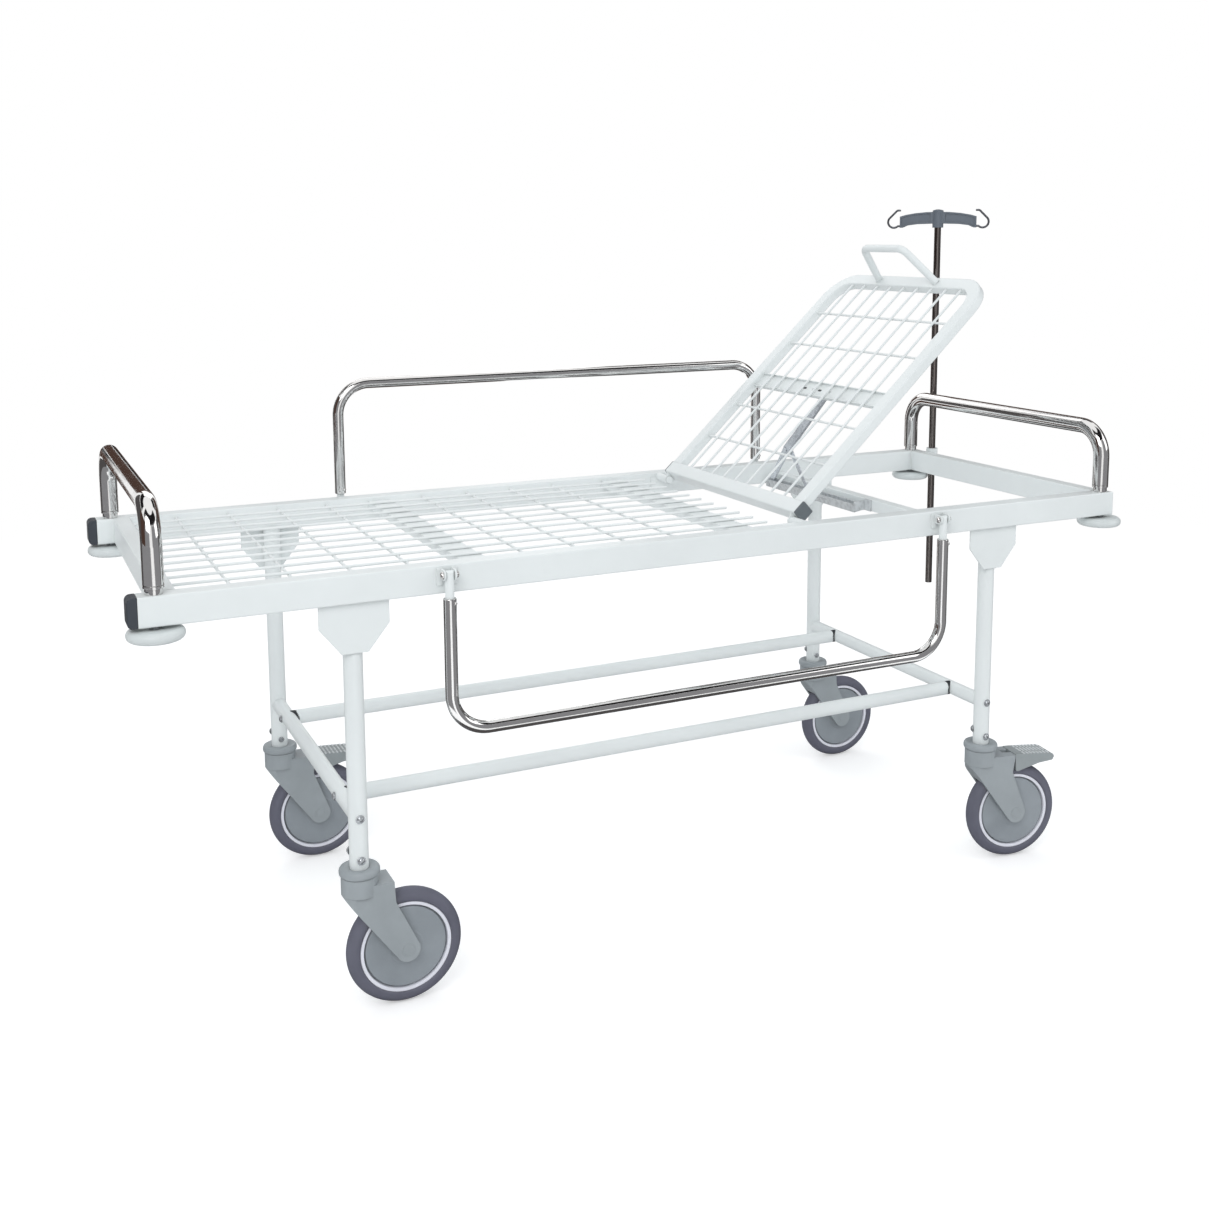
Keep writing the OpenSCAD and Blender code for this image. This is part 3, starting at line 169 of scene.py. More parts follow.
@dataclass
class NodeSheet:
    """A node tree with short calls for adding and joining nodes."""

    tree: bpy.types.NodeTree
    column: int = 0

    def feed(self, target: Socket, value: object) -> None:
        """Joins a socket to an input, or sets the input.

        Args:
            target: The input.
            value: A socket, or what the input is to hold.
        """
        if isinstance(value, Socket):
            self.tree.links.new(value, target)
        else:
            target.default_value = value

    def add(self, kind: str, **values: object) -> bpy.types.Node:
        """Adds a node.

        Args:
            kind: The node's type name.
            values: Attributes, or what feeds an input, by its name with spaces as underscores.

        Returns:
            The new node.
        """
        node = self.tree.nodes.new(kind)
        node.location = (self.column * 190, 0)
        self.column += 1
        for name, value in values.items():
            if hasattr(node, name):
                setattr(node, name, value)
            else:
                self.feed(node.inputs[name.replace("_", " ")], value)
        return node

    def math(self, operation: str, first: object, second: object, clamp: bool = False) -> Socket:
        """Adds a calculation.

        Args:
            operation: The operation's name.
            first: A socket or a number.
            second: A socket or a number.
            clamp: True to keep the result from 0 to 1.

        Returns:
            The result's socket.
        """
        node = self.add("ShaderNodeMath", operation=operation, use_clamp=clamp)
        self.feed(node.inputs[0], first)
        self.feed(node.inputs[1], second)
        return node.outputs[0]

    def span(self, value: Socket, low: float, high: float,
             to_low: float = 0.0, to_high: float = 1.0) -> Socket:
        """Returns a socket mapped from one range onto another, with clamping."""
        return self.add("ShaderNodeMapRange", Value=value, From_Min=low, From_Max=high, To_Min=to_low,
                        To_Max=to_high).outputs["Result"]

    def blend(self, factor: Socket, first: object, second: object) -> Socket:
        """Blends two colours.

        Args:
            factor: The socket that chooses between them.
            first: A socket or a colour at factor 0.
            second: A socket or a colour at factor 1.

        Returns:
            The colour's socket.
        """
        node = self.add("ShaderNodeMix", data_type="RGBA")
        self.feed(node.inputs[0], factor)
        for slot, value in ((6, first), (7, second)):
            self.feed(node.inputs[slot], value if isinstance(value, Socket) else (*value, 1.0))
        return node.outputs[2]


@dataclass
class EffectGroups:
    """Shader node groups that several finishes share, each built once."""

    made: dict[str, bpy.types.NodeTree] = field(default_factory=dict)

    def start(self, name: str, inputs: dict[str, float], outputs: Sequence[str]) -> tuple[
            NodeSheet, bpy.types.NodeOutputs, bpy.types.NodeInputs, Socket]:
        """Makes an empty group with named sockets.

        Args:
            name: The group's name.
            inputs: The default of each input.
            outputs: The name of each output.

        Returns:
            The group's sheet, what comes in, what goes out and the place on the object.
        """
        tree = bpy.data.node_groups.new(name, "ShaderNodeTree")
        for label, default in inputs.items():
            socket = tree.interface.new_socket(label, in_out="INPUT", socket_type="NodeSocketFloat")
            socket.default_value = default
        for label in outputs:
            tree.interface.new_socket(label, in_out="OUTPUT", socket_type="NodeSocketFloat")
        sheet = NodeSheet(tree)
        self.made[name] = tree
        return (sheet, sheet.add("NodeGroupInput").outputs, sheet.add("NodeGroupOutput").inputs,
                sheet.add("ShaderNodeTexCoord").outputs["Object"])

    def place(self, sheet: NodeSheet, name: str, **values: float) -> bpy.types.NodeOutputs:
        """Puts a group in a material's sheet, with its own values, and returns its outputs."""
        return sheet.add("ShaderNodeGroup", node_tree=self.made[name], **values).outputs

    def build(self) -> None:
        """Builds every group."""
        self.build_relief()
        self.build_wear()
        self.build_dust()
        self.build_handling()
        self.build_grain()

    def build_relief(self) -> None:
        """Builds the fine relief of a sprayed or moulded surface, with a slow change of tone."""
        sheet, enter, leave, place = self.start("coat_relief", {"Scale": 900.0, "Slow Scale": 6.0},
                                                ("Height", "Tone"))
        for scale, result, detail, rough in (("Scale", "Height", 3.0, 0.55), ("Slow Scale", "Tone", 4.0, 0.6)):
            noise = sheet.add("ShaderNodeTexNoise", Vector=place, Scale=enter[scale], Detail=detail, Roughness=rough)
            sheet.feed(leave[result], noise.outputs["Fac"])

    def build_wear(self) -> None:
        """Builds a broken mask along outer edges, where handling rubs a surface."""
        sheet, enter, leave, place = self.start("edge_wear", {"Radius": 0.0015, "Amount": 0.5, "Scale": 60.0},
                                                ("Mask",))
        dot = sheet.add("ShaderNodeVectorMath", operation="DOT_PRODUCT")
        sheet.feed(dot.inputs[0], sheet.add("ShaderNodeBevel", samples=4, Radius=enter["Radius"]).outputs["Normal"])
        sheet.feed(dot.inputs[1], sheet.add("ShaderNodeNewGeometry").outputs["Normal"])
        noise = sheet.add("ShaderNodeTexNoise", Vector=place, Scale=enter["Scale"], Detail=5.0, Roughness=0.7)
        mask = sheet.math("MULTIPLY", sheet.span(dot.outputs["Value"], 1.0, 0.86),
                          sheet.span(noise.outputs["Fac"], 0.45, 0.7))
        sheet.feed(leave["Mask"], sheet.math("MULTIPLY", mask, enter["Amount"], True))

    def build_dust(self) -> None:
        """Builds a mask of painted shade and dust in inner corners: ambient occlusion broken up by noise."""
        sheet, enter, leave, place = self.start("corner_dust", {"Reach": 0.012, "Amount": 0.4}, ("Mask",))
        # Painted shade: the more closed in a corner is, the more the mask darkens it.
        shade = sheet.add("ShaderNodeAmbientOcclusion", samples=4, Distance=enter["Reach"])
        closed = sheet.math("SUBTRACT", 1.0, shade.outputs["AO"], True)
        noise = sheet.add("ShaderNodeTexNoise", Vector=place, Scale=35.0, Detail=4.0)
        mask = sheet.math("MULTIPLY", closed, sheet.span(noise.outputs["Fac"], 0.3, 0.7, 0.45, 1.0))
        sheet.feed(leave["Mask"], sheet.math("MULTIPLY", mask, enter["Amount"], True))

    def build_handling(self) -> None:
        """Builds smears and hairline scratches on polished metal."""
        sheet, enter, leave, place = self.start(
            "handling_marks", {"Smear Scale": 14.0, "Scratch Scale": 130.0}, ("Smear", "Height"))
        smear = sheet.add("ShaderNodeTexNoise", Vector=place, Scale=enter["Smear Scale"], Detail=6.0,
                          Roughness=0.65, Distortion=0.6)
        sheet.feed(leave["Smear"], sheet.span(smear.outputs["Fac"], 0.42, 0.72))
        scratch = sheet.add("ShaderNodeTexVoronoi", feature="DISTANCE_TO_EDGE", Vector=place,
                            Scale=enter["Scratch Scale"], Randomness=1.0)
        line = sheet.span(scratch.outputs["Distance"], 0.0, 0.02, 1.0, 0.0)
        fade = sheet.add("ShaderNodeTexNoise", Vector=place, Scale=40.0, Detail=2.0)
        sheet.feed(leave["Height"], sheet.math("MULTIPLY", line, sheet.span(fade.outputs["Fac"], 0.55, 0.7)))

    def build_grain(self) -> None:
        """Builds the spangled, slightly drawn grain of plated steel."""
        sheet, enter, leave, place = self.start("plated_grain", {"Scale": 220.0}, ("Height", "Tone"))
        stretch = sheet.add("ShaderNodeVectorMath", operation="MULTIPLY")
        sheet.feed(stretch.inputs[0], place)
        sheet.feed(stretch.inputs[1], (1.0, 0.2, 0.2))
        drawn = sheet.add("ShaderNodeTexNoise", Vector=stretch.outputs["Vector"], Scale=enter["Scale"], Detail=3.0,
                          Roughness=0.6).outputs["Fac"]
        spangle = sheet.add("ShaderNodeTexVoronoi", Vector=place, Scale=95.0).outputs["Distance"]
        sheet.feed(leave["Height"], drawn)
        sheet.feed(leave["Tone"], sheet.math("ADD", sheet.math("MULTIPLY", drawn, 0.5),
                                             sheet.math("MULTIPLY", spangle, 0.5)))


# -------------------------------------------------------------------- finishes


@dataclass(frozen=True)
class Finish:
    """What every finish has: a name, the record's slot, a colour and how light falls on it."""

    name: str
    slot: str
    colour: Colour
    rough: float = 0.45
    metal: float = 0.0
    shine: float = 0.5
    softness: float = 0.0015
    strength: float = 0.6
    depth: float = 0.00007

    def scaled(self, factor: float) -> Colour:
        """Returns the colour made lighter or darker."""
        return tuple(min(1.0, part * factor) for part in self.colour)

    def dress(self, groups: EffectGroups, sheet: NodeSheet) -> tuple[Socket, Socket, Socket]:
        """Returns the sockets of colour, roughness and relief; each kind of finish has its own."""
        raise NotImplementedError

    def make(self, groups: EffectGroups) -> bpy.types.Material:
        """Builds the material.

        Args:
            groups: The shared effect groups.

        Returns:
            The finished material.
        """
        material = bpy.data.materials.new(self.name)
        material.use_nodes = True
        material.diffuse_color = (*self.colour, 1.0)
        sheet = NodeSheet(material.node_tree)
        shader = material.node_tree.nodes["Principled BSDF"].inputs
        base, rough, height = self.dress(groups, sheet)
        soft = sheet.add("ShaderNodeBevel", samples=4, Radius=self.softness)
        bump = sheet.add("ShaderNodeBump", Strength=self.strength, Distance=self.depth, Height=height,
                         Normal=soft.outputs["Normal"])
        for name, value in (("Base Color", base), ("Roughness", rough), ("Metallic", self.metal),
                            ("Specular IOR Level", self.shine), ("Normal", bump.outputs["Normal"])):
            sheet.feed(shader[name], value)
        return material


@dataclass(frozen=True)
class MouldedFinish(Finish):
    """Moulded plastic or rubber: fine spark texture, scuffed edges, and dust with painted shade in the corners."""

    texture: float = 900.0
    slow: float = 18.0
    tones: Pair = (0.93, 1.05)
    swing: Pair = (-0.06, 0.08)
    wear_radius: float = 0.0014
    wear_scale: float = 120.0
    worn: float = 0.35
    scuff: float = 1.25
    # How far, how strongly and toward what colour the inner corners get painted shade and dust.
    reach: float = 0.01
    dusty: float = 0.35
    dulling: float = 0.0
    dust_colour: Colour = (0.30, 0.29, 0.28)
    wear_colour: Colour | None = None

    def dress(self, groups: EffectGroups, sheet: NodeSheet) -> tuple[Socket, Socket, Socket]:
        """Builds the colour, roughness and relief.

        Args:
            groups: The shared effect groups.
            sheet: The material's sheet.

        Returns:
            Their sockets.
        """
        relief = groups.place(sheet, "coat_relief", Scale=self.texture, Slow_Scale=self.slow)
        wear = groups.place(sheet, "edge_wear", Radius=self.wear_radius, Amount=self.worn, Scale=self.wear_scale)
        # Painted shade with dust: inner corners blend toward a dark grey and dull a little.
        shade_and_dust = groups.place(sheet, "corner_dust", Reach=self.reach, Amount=self.dusty)["Mask"]
        body = sheet.blend(sheet.span(relief["Tone"], 0.3, 0.7), *(self.scaled(tone) for tone in self.tones))
        base = sheet.blend(wear["Mask"], sheet.blend(shade_and_dust, body, self.dust_colour),
                           self.wear_colour or self.scaled(self.scuff))
        rough = sheet.span(relief["Tone"], 0.3, 0.7, *(self.rough + part for part in self.swing))
        if self.dulling:
            rough = sheet.math("ADD", rough, sheet.math("MULTIPLY", shade_and_dust, self.dulling))
        return base, rough, relief["Height"]


@dataclass(frozen=True)
class PaintFinish(MouldedFinish):
    """Powder coat, built like a moulded surface: fine orange peel, worn edges, and dust with painted shade in the
    corners.
    """

    rough: float = 0.36
    shine: float = 0.45
    softness: float = 0.0012
    depth: float = 0.000005
    texture: float = 620.0
    slow: float = 5.0
    tones: Pair = (0.965, 1.02)
    swing: Pair = (-0.05, 0.07)
    wear_radius: float = 0.0012
    wear_scale: float = 45.0
    # Painted shade and dust in the corners: reach, amount and colour of the darkening.
    reach: float = 0.014
    dusty: float = 0.4
    dulling: float = 0.3
    dust_colour: Colour = (0.36, 0.355, 0.34)
    wear_colour: Colour | None = (0.42, 0.42, 0.42)


@dataclass(frozen=True)
class ChromeFinish(Finish):
    """Bright chrome plate with smears and hairlines."""

    rough: float = 0.06
    metal: float = 1.0
    softness: float = 0.0008
    strength: float = 0.25
    depth: float = 0.00003

    def dress(self, groups: EffectGroups, sheet: NodeSheet) -> tuple[Socket, Socket, Socket]:
        """Builds the colour, roughness and relief.

        Args:
            groups: The shared effect groups.
            sheet: The material's sheet.

        Returns:
            Their sockets.
        """
        marks = groups.place(sheet, "handling_marks", Smear_Scale=16.0, Scratch_Scale=120.0)
        colour = sheet.blend(marks["Smear"], self.colour, self.scaled(0.93))
        # Painted shade with dust: the chrome darkens almost to black in its inner corners.
        shade_and_dust = groups.place(sheet, "corner_dust", Reach=0.006, Amount=0.7)["Mask"]
        return (sheet.blend(shade_and_dust, colour, (0.14, 0.135, 0.13)),
                sheet.span(marks["Smear"], 0.0, 1.0, self.rough, self.rough + 0.09), marks["Height"])


@dataclass(frozen=True)
class PlateFinish(Finish):
    """Zinc plated steel: dull metal with a drawn, spangled grain."""

    rough: float = 0.42
    metal: float = 0.9
    softness: float = 0.0006
    strength: float = 0.5
    depth: float = 0.00005

    def dress(self, groups: EffectGroups, sheet: NodeSheet) -> tuple[Socket, Socket, Socket]:
        """Builds the colour, roughness and relief.

        Args:
            groups: The shared effect groups.
            sheet: The material's sheet.

        Returns:
            Their sockets.
        """
        grain = groups.place(sheet, "plated_grain", Scale=260.0)
        wear = groups.place(sheet, "edge_wear", Radius=0.0008, Amount=0.6, Scale=90.0)["Mask"]
        # Painted shade with dust: the plated steel darkens almost to black in its inner corners.
        shade_and_dust = groups.place(sheet, "corner_dust", Reach=0.006, Amount=0.6)["Mask"]
        tone = sheet.blend(sheet.span(grain["Tone"], 0.2, 0.6), self.scaled(0.78), self.scaled(1.12))
        base = sheet.blend(shade_and_dust, sheet.blend(wear, tone, self.scaled(1.35)), (0.08, 0.075, 0.07))
        return base, sheet.span(grain["Tone"], 0.2, 0.6, self.rough + 0.1, self.rough - 0.08), grain["Height"]


FINISHES: tuple[Finish, ...] = (
    PaintFinish("powder_coat", "white_paint", linear(238, 243, 243)),
    PaintFinish("wire_coat", "white_paint", linear(240, 244, 244), worn=0.15),
    ChromeFinish("bright_chrome", "chrome", linear(236, 235, 234)),
    # Painted reflection: a darker copy of the bright chrome for the pole, standing in for the dark surroundings that
    # it mirrors.
    ChromeFinish("dark_chrome", "chrome", linear(128, 121, 118), rough=0.09),
    PlateFinish("zinc_plate", "zinc", linear(212, 216, 218), metal=0.25),
    PlateFinish("steel_plate", "zinc", linear(206, 211, 217), rough=0.34, metal=0.4),
    PlateFinish("bolt_plate", "zinc", linear(196, 200, 204), rough=0.3, metal=0.7),
    PlateFinish("dark_wire", "dark_wire", linear(104, 106, 112), rough=0.35),
    MouldedFinish("cap_black", "black_plastic", linear(60, 66, 74), scuff=1.8),
    MouldedFinish("saddle_black", "black_plastic", linear(38, 42, 48), scuff=2.0),
    MouldedFinish("cap_grey", "cap_plastic", linear(107, 114, 119)),
    MouldedFinish("bumper_pale", "bumper_plastic", linear(220, 226, 226), rough=0.4, scuff=0.8),
    MouldedFinish("fork_grey", "caster_plastic", linear(160, 167, 171), rough=0.38, depth=0.0001),
    MouldedFinish("cover_grey", "wheel_plastic", linear(151, 158, 164), rough=0.36),
    MouldedFinish("ring_pale", "wheel_plastic", linear(238, 239, 248), rough=0.4, scuff=0.9, dusty=0.1),
    MouldedFinish("tyre_grey", "tyre", linear(103, 104, 118), rough=0.55, scuff=1.5, dusty=0.5),
    MouldedFinish("rib_pale", "pedal_plastic", linear(216, 220, 222), rough=0.4, dusty=0.1),
    MouldedFinish("pedal_grey", "pedal_plastic", linear(156, 163, 165), rough=0.42),
    MouldedFinish("bar_grey", "bar_plastic", linear(106, 114, 124), rough=0.4),
)


# ----------------------------------------------------------------- mesh makers


def rounded_path(turns: Sequence[Vector], radius: float, steps: int) -> list[Vector]:
    """Rounds the corners of a path of straight runs.

    Args:
        turns: The points of the sharp path.
        radius: The bend radius at its inner corners.
        steps: Points in each bend.

    Returns:
        The points of the rounded path.
    """
    path = [turns[0]]
    for before, here, after in zip(turns, turns[1:], turns[2:]):
        back, ahead = (before - here).normalized(), (after - here).normalized()
        half = back.angle(ahead) / 2
        middle = here + (back + ahead).normalized() * (radius / math.sin(half))
        start = here + back * (radius / math.tan(half)) - middle
        axis = back.cross(ahead).normalized()
        sweep = math.pi - 2 * half
        path += [middle + Matrix.Rotation(-sweep * step / steps, 3, axis) @ start for step in range(steps + 1)]
    return [*path, turns[-1]]


def rounded_section(width: float, height: float, radius: float, steps: int = 4) -> list[Pair]:
    """Draws a rectangle with rounded corners, centred on its middle.

    Args:
        width: Size across.
        height: Size upwards.
        radius: Radius of the corners.
        steps: Points in each corner.

    Returns:
        The outline's points.
    """
    outline: list[Pair] = []
    for quarter, (right, top) in enumerate(((1, 1), (-1, 1), (-1, -1), (1, -1))):
        outline += arc((right * (width / 2 - radius), top * (height / 2 - radius)), radius,
                       (90 * (quarter + step / steps) for step in range(steps + 1)))
    return outline


def keep_flats_flat(piece: bpy.types.Object) -> None:
    """Leaves the turn of the light to the rounded edges, so that broad faces look flat."""
    piece.modifiers.new("even", "WEIGHTED_NORMAL").keep_sharp = True


@dataclass
class Form:
    """A mesh in the making. Its points are in metres, or in mm where unit is 1, and its sizes in mm."""

    unit: float = MM
    mesh: bmesh.types.BMesh = field(default_factory=bmesh.new)

    def finish(self, name: str) -> bpy.types.Object:
        """Turns the mesh into a named object with smooth round faces.

        Args:
            name: The piece's name.

        Returns:
            The new object.
        """
        bmesh.ops.recalc_face_normals(self.mesh, faces=self.mesh.faces)
        for face in self.mesh.faces:
            face.smooth = True
        for edge in self.mesh.edges:
            edge.smooth = len(edge.link_faces) == 2 and edge.calc_face_angle(0.0) < SMOOTH_BELOW
        data = bpy.data.meshes.new(name)
        self.mesh.to_mesh(data)
        self.mesh.free()
        piece = bpy.data.objects.new(name, data)
        bpy.context.scene.collection.objects.link(piece)
        keep_flats_flat(piece)
        return piece

    def skin(self, rows: Sequence[Sequence[bmesh.types.BMVert]], closed: bool = False, wrap: bool = True) -> None:
        """Joins neighbouring rows of corners with faces.

        Args:
            rows: Rows of corners, each of equal length or a single corner.
            closed: True where the last row meets the first.
            wrap: True where each row is a ring.
        """
        sides = max(len(row) for row in rows)
        joins = list(zip(rows, rows[1:])) + ([(rows[-1], rows[0])] if closed else [])
        for first, second in joins:
            for side in range(sides if wrap else sides - 1):
                following = (side + 1) % sides
                loop = [first[side % len(first)], first[following % len(first)],
                        second[following % len(second)], second[side % len(second)]]
                unique = [corner for place, corner in enumerate(loop) if corner not in loop[:place]]
                if len(unique) > 2:
                    self.mesh.faces.new(unique)

    def rings(self, rings: Iterable[Iterable[Vector]]) -> None:
        """Skins a row of equal rings and closes both ends.

        Args:
            rings: The points of each ring.
        """
        rows = [[self.mesh.verts.new(point) for point in ring] for ring in rings]
        self.skin(rows)
        for lid in (list(reversed(rows[0])), rows[-1]):
            self.mesh.faces.new(lid)

    def sweep(self, path: Sequence[Vector], radius: float | Sequence[float], sides: int = 24) -> None:
        """Adds a round bar along a path.

        Args:
            path: The points of its middle line.
            radius: One radius, or one for each point.
            sides: Faces round the bar.
        """
        last = len(path) - 1
        radii = [radius] * len(path) if isinstance(radius, (int, float)) else radius
        across = square_to((path[1] - path[0]).normalized())
        rings = []
        for place, point in enumerate(path):
            tangent = (path[min(place + 1, last)] - path[max(place - 1, 0)]).normalized()
            across = (across - tangent * across.dot(tangent)).normalized()
            rings.append(circle(point, across, tangent.cross(across), radii[place] * self.unit, sides))
        self.rings(rings)

    def bow(self, turns: Sequence[Vector], bend: float, radius: float, rim: float, sides: int) -> None:
        """Adds a round tube bent to a long U, with turned-in rims.

        Args:
            turns: The four corners of its middle line.
            bend: Radius of its bends.
            radius: Outer radius.
            rim: How far the rims turn in.
            sides: Faces round the tube.
        """
        path = rounded_path(turns, bend * self.unit, 24)
        lift = (turns[1] - turns[0]).normalized() * (0.9 * self.unit)
        path = [path[0], path[0] + lift, *path[1:-1], path[-1] + lift, path[-1]]
        self.sweep(path, [radius - rim, *[radius] * (len(path) - 2), radius - rim], sides)

    def bar(self, path: Sequence[Vector], section: Sequence[Pair]) -> None:
        """Adds a bar with a drawn section along a level path.

        Args:
            path: The points of its middle line.
            section: The section's outline: across the path, and upwards.
        """
        last, rings = len(path) - 1, []
        for place, point in enumerate(path):
            across = (path[min(place + 1, last)] - path[max(place - 1, 0)]).cross(UP).normalized() * self.unit
            rings.append([point + across * first + UP * (second * self.unit) for first, second in section])
        self.rings(rings)

    def lathe(self, profile: Sequence[Pair], centre: Vector, axis: Vector, sides: int = 96,
              ring: bool = False) -> None:
        """Adds a turned shape.

        Args:
            profile: Radius and height of each point; the ends lie on the axis, unless ring is set.
            centre: Where height 0 of the axis is.
            axis: The direction of growing height.
            sides: Faces round the shape.
            ring: True for an outline that closes on itself away from the axis.
        """
        axis = axis.normalized()
        across = square_to(axis)
        other = axis.cross(across)
        rows = [circle(centre + axis * (height * self.unit), across, other, radius * self.unit,
                       sides if radius else 1) for radius, height in profile]
        self.skin([[self.mesh.verts.new(point) for point in row] for row in rows], ring)

    def tube(self, start: Vector, end: Vector, outer: float, inner: float, sides: int = 48) -> None:
        """Adds a straight round tube with open ends and softened rims.

        Args:
            start: The middle of its first end.
            end: The middle of its second end.
            outer: Outer radius.
            inner: Radius of the bore.
            sides: Faces round the tube.
        """
        length, rim = (end - start).length / self.unit, min(0.6, (outer - inner) / 3)
        self.lathe([(outer, rim), (outer, length - rim), (outer - rim, length), (inner + rim, length),
                    (inner, length - rim), (inner, rim), (inner + rim, 0.0), (outer - rim, 0.0)],
                   start, end - start, sides, True)

    def plate(self, outline: Sequence[Pair], thickness: float, place: Matrix, edge: float = 0.6,
              segments: int = 3) -> None:
        """Adds a flat plate with rounded edges, cut to an outline.

        Args:
            outline: Corners in the plate's own plane.
            thickness: Its thickness, half on each side of the plane.
            place: The matrix that puts the plane in the model.
            edge: Radius of its edges.
            segments: Steps in the rounding.
        """
        part = bmesh.new()
        unit = self.unit
        face = part.faces.new([part.verts.new((x * unit, y * unit, -thickness * unit / 2)) for x, y in outline])
        grown = bmesh.ops.extrude_face_region(part, geom=[face])
        moved = [item for item in grown["geom"] if isinstance(item, bmesh.types.BMVert)]
        bmesh.ops.translate(part, verts=moved, vec=(0, 0, thickness * unit))
        bmesh.ops.recalc_face_normals(part, faces=part.faces)
        rims = [item for item in part.edges if item.calc_face_angle(0.0) > 0.5]
        bmesh.ops.bevel(part, geom=rims, offset=edge * unit, segments=segments, profile=0.5, affect="EDGES")
        bmesh.ops.transform(part, matrix=place, verts=part.verts)
        holder = bpy.data.meshes.new("holder")
        part.to_mesh(holder)
        part.free()
        self.mesh.from_mesh(holder)
        bpy.data.meshes.remove(holder)

    def block(self, low: Vector, high: Vector, edge: float = 0.6) -> None:
        """Adds a block with rounded edges.

        Args:
            low: Its lowest corner.
            high: Its highest corner.
            edge: Radius of its edges.
        """
        x, y, z = (high - low) / self.unit
        outline = [(-x / 2, -y / 2), (x / 2, -y / 2), (x / 2, y / 2), (-x / 2, y / 2)]
        self.plate(outline, z, Matrix.Translation((low + high) / 2), edge)

    def bead(self, path: Sequence[Vector], radius: float = 1.6) -> None:
        """Adds a weld bead: a thin bar with the ripples that a welder's hand leaves.

        Args:
            path: The points of its middle line.
            radius: Its middle radius.
        """
        fine: list[Vector] = []
        for first, second in zip(path, path[1:]):
            count = max(1, round((second - first).length / (0.9 * self.unit)))
            fine.extend(first.lerp(second, step / count) for step in range(count))
        fine.append(path[-1])
        last = len(fine) - 1
        self.sweep(fine, [radius * (0.9 + 0.13 * math.sin(place * 2.1) + 0.07 * math.sin(place * 0.63 + last))
                          * (0.45 if place in (0, last) else 1.0) for place in range(last + 1)], 8)

    def wire(self, path: Sequence[Vector]) -> None:
        """Adds a wire of the deck or the backrest."""
        self.sweep(path, WIRE_R, 14)

    def nugget(self, spot: Vector) -> None:
        """Adds the drop of metal of a spot weld above the middle of the lower wire."""
        self.sweep([spot + Vector((along, 0, up)) * self.unit for along, up in NUGGET], (0.6, 2.9, 2.9, 0.6), 8)

    def bolt(self, seat: Vector, axis: Vector, length: float, radius: float = 3.0, head: float = 6.0,
             washer: bool = True, nut: bool = False) -> None:
        """Adds a domed socket bolt.

        Args:
            seat: The middle of the face under the head.
            axis: The direction in which the shank goes.
            length: Length of the shank.
            radius: Radius of the shank.
            head: Radius of the head.
            washer: True to add a washer under the head.
            nut: True to add a nut at the end.
        """
        axis = axis.normalized()
        rise, disc, socket = 0.9 if washer else 0.0, head * 1.25, head * 0.42
        if washer:
            self.lathe([(radius, 0.0), (disc - 0.2, 0.0), (disc, 0.2), (disc, 0.7), (disc - 0.2, rise),
                        (radius, rise)], seat, -axis, 32, True)
        dome = [(0.0, rise + 1.6), (socket, rise + 1.6), (socket, rise + head * 0.62)]
        dome += [(head * math.sin(angle) if angle < 1.5 else head, rise + head * 0.68 * math.cos(angle))
                 for angle in (0.5 + 1.07 * step / 8 for step in range(9))]
        dome += [(head, rise), (radius, rise), (radius, -length), (0.0, -length)]
        self.lathe(dome, seat, -axis, 32)
        if nut:
            tip = seat + axis * ((length - 4.2) * self.unit)
            self.lathe([(radius, 0.0), (head * 0.9, 0.0), (head, 0.6), (head, 2.8), (head * 0.9, 3.4),
                        (radius, 3.4)], tip, axis, 6, True)


@dataclass
class Softener:
    """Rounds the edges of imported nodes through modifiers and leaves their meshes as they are."""

    limit: float = 30.0
    flat: float = 0.6
    sharp: float = 38.0
    weld: float = 0.000002
    tree: bpy.types.NodeTree | None = None

    def build(self) -> None:
        """Builds the node group that shades round faces smooth and keeps sharp edges."""
        tree = bpy.data.node_groups.new("shade_by_angle", "GeometryNodeTree")
        for way in ("INPUT", "OUTPUT"):
            tree.interface.new_socket("Geometry", in_out=way, socket_type="NodeSocketGeometry")
        sheet = NodeSheet(tree)
        angle = sheet.add("GeometryNodeInputMeshEdgeAngle")
        sharp = sheet.add("FunctionNodeCompare", operation="GREATER_THAN")
        sheet.feed(sharp.inputs[0], angle.outputs["Unsigned Angle"])
        sheet.feed(sharp.inputs[1], math.radians(self.limit))
        faces = sheet.add("GeometryNodeSetShadeSmooth", domain="FACE",
                          Geometry=sheet.add("NodeGroupInput").outputs[0])
        edges = sheet.add("GeometryNodeSetShadeSmooth", domain="EDGE", Geometry=faces.outputs[0],
                          Selection=sharp.outputs[0], Shade_Smooth=False)
        sheet.feed(sheet.add("NodeGroupOutput").inputs[0], edges.outputs[0])
        self.tree = tree

    def soften(self, thing: bpy.types.Object, width: float) -> None:
        """Rounds a node's sharp edges.

        Args:
            thing: The node's object.
            width: How wide the rounding is, in mm; 0 leaves the edges sharp.
        """
        if width:
            thing.modifiers.new("weld", "WELD").merge_threshold = self.weld
            flat = thing.modifiers.new("flat", "DECIMATE")
            flat.decimate_type = "DISSOLVE"
            flat.angle_limit = math.radians(self.flat)
            bevel = thing.modifiers.new("edges", "BEVEL")
            bevel.width = width * MM
            bevel.segments = 2
            bevel.limit_method = "ANGLE"
            bevel.angle_limit = math.radians(self.sharp)
            bevel.use_clamp_overlap = True
        thing.modifiers.new("smooth", "NODES").node_group = self.tree
        if width:
            keep_flats_flat(thing)


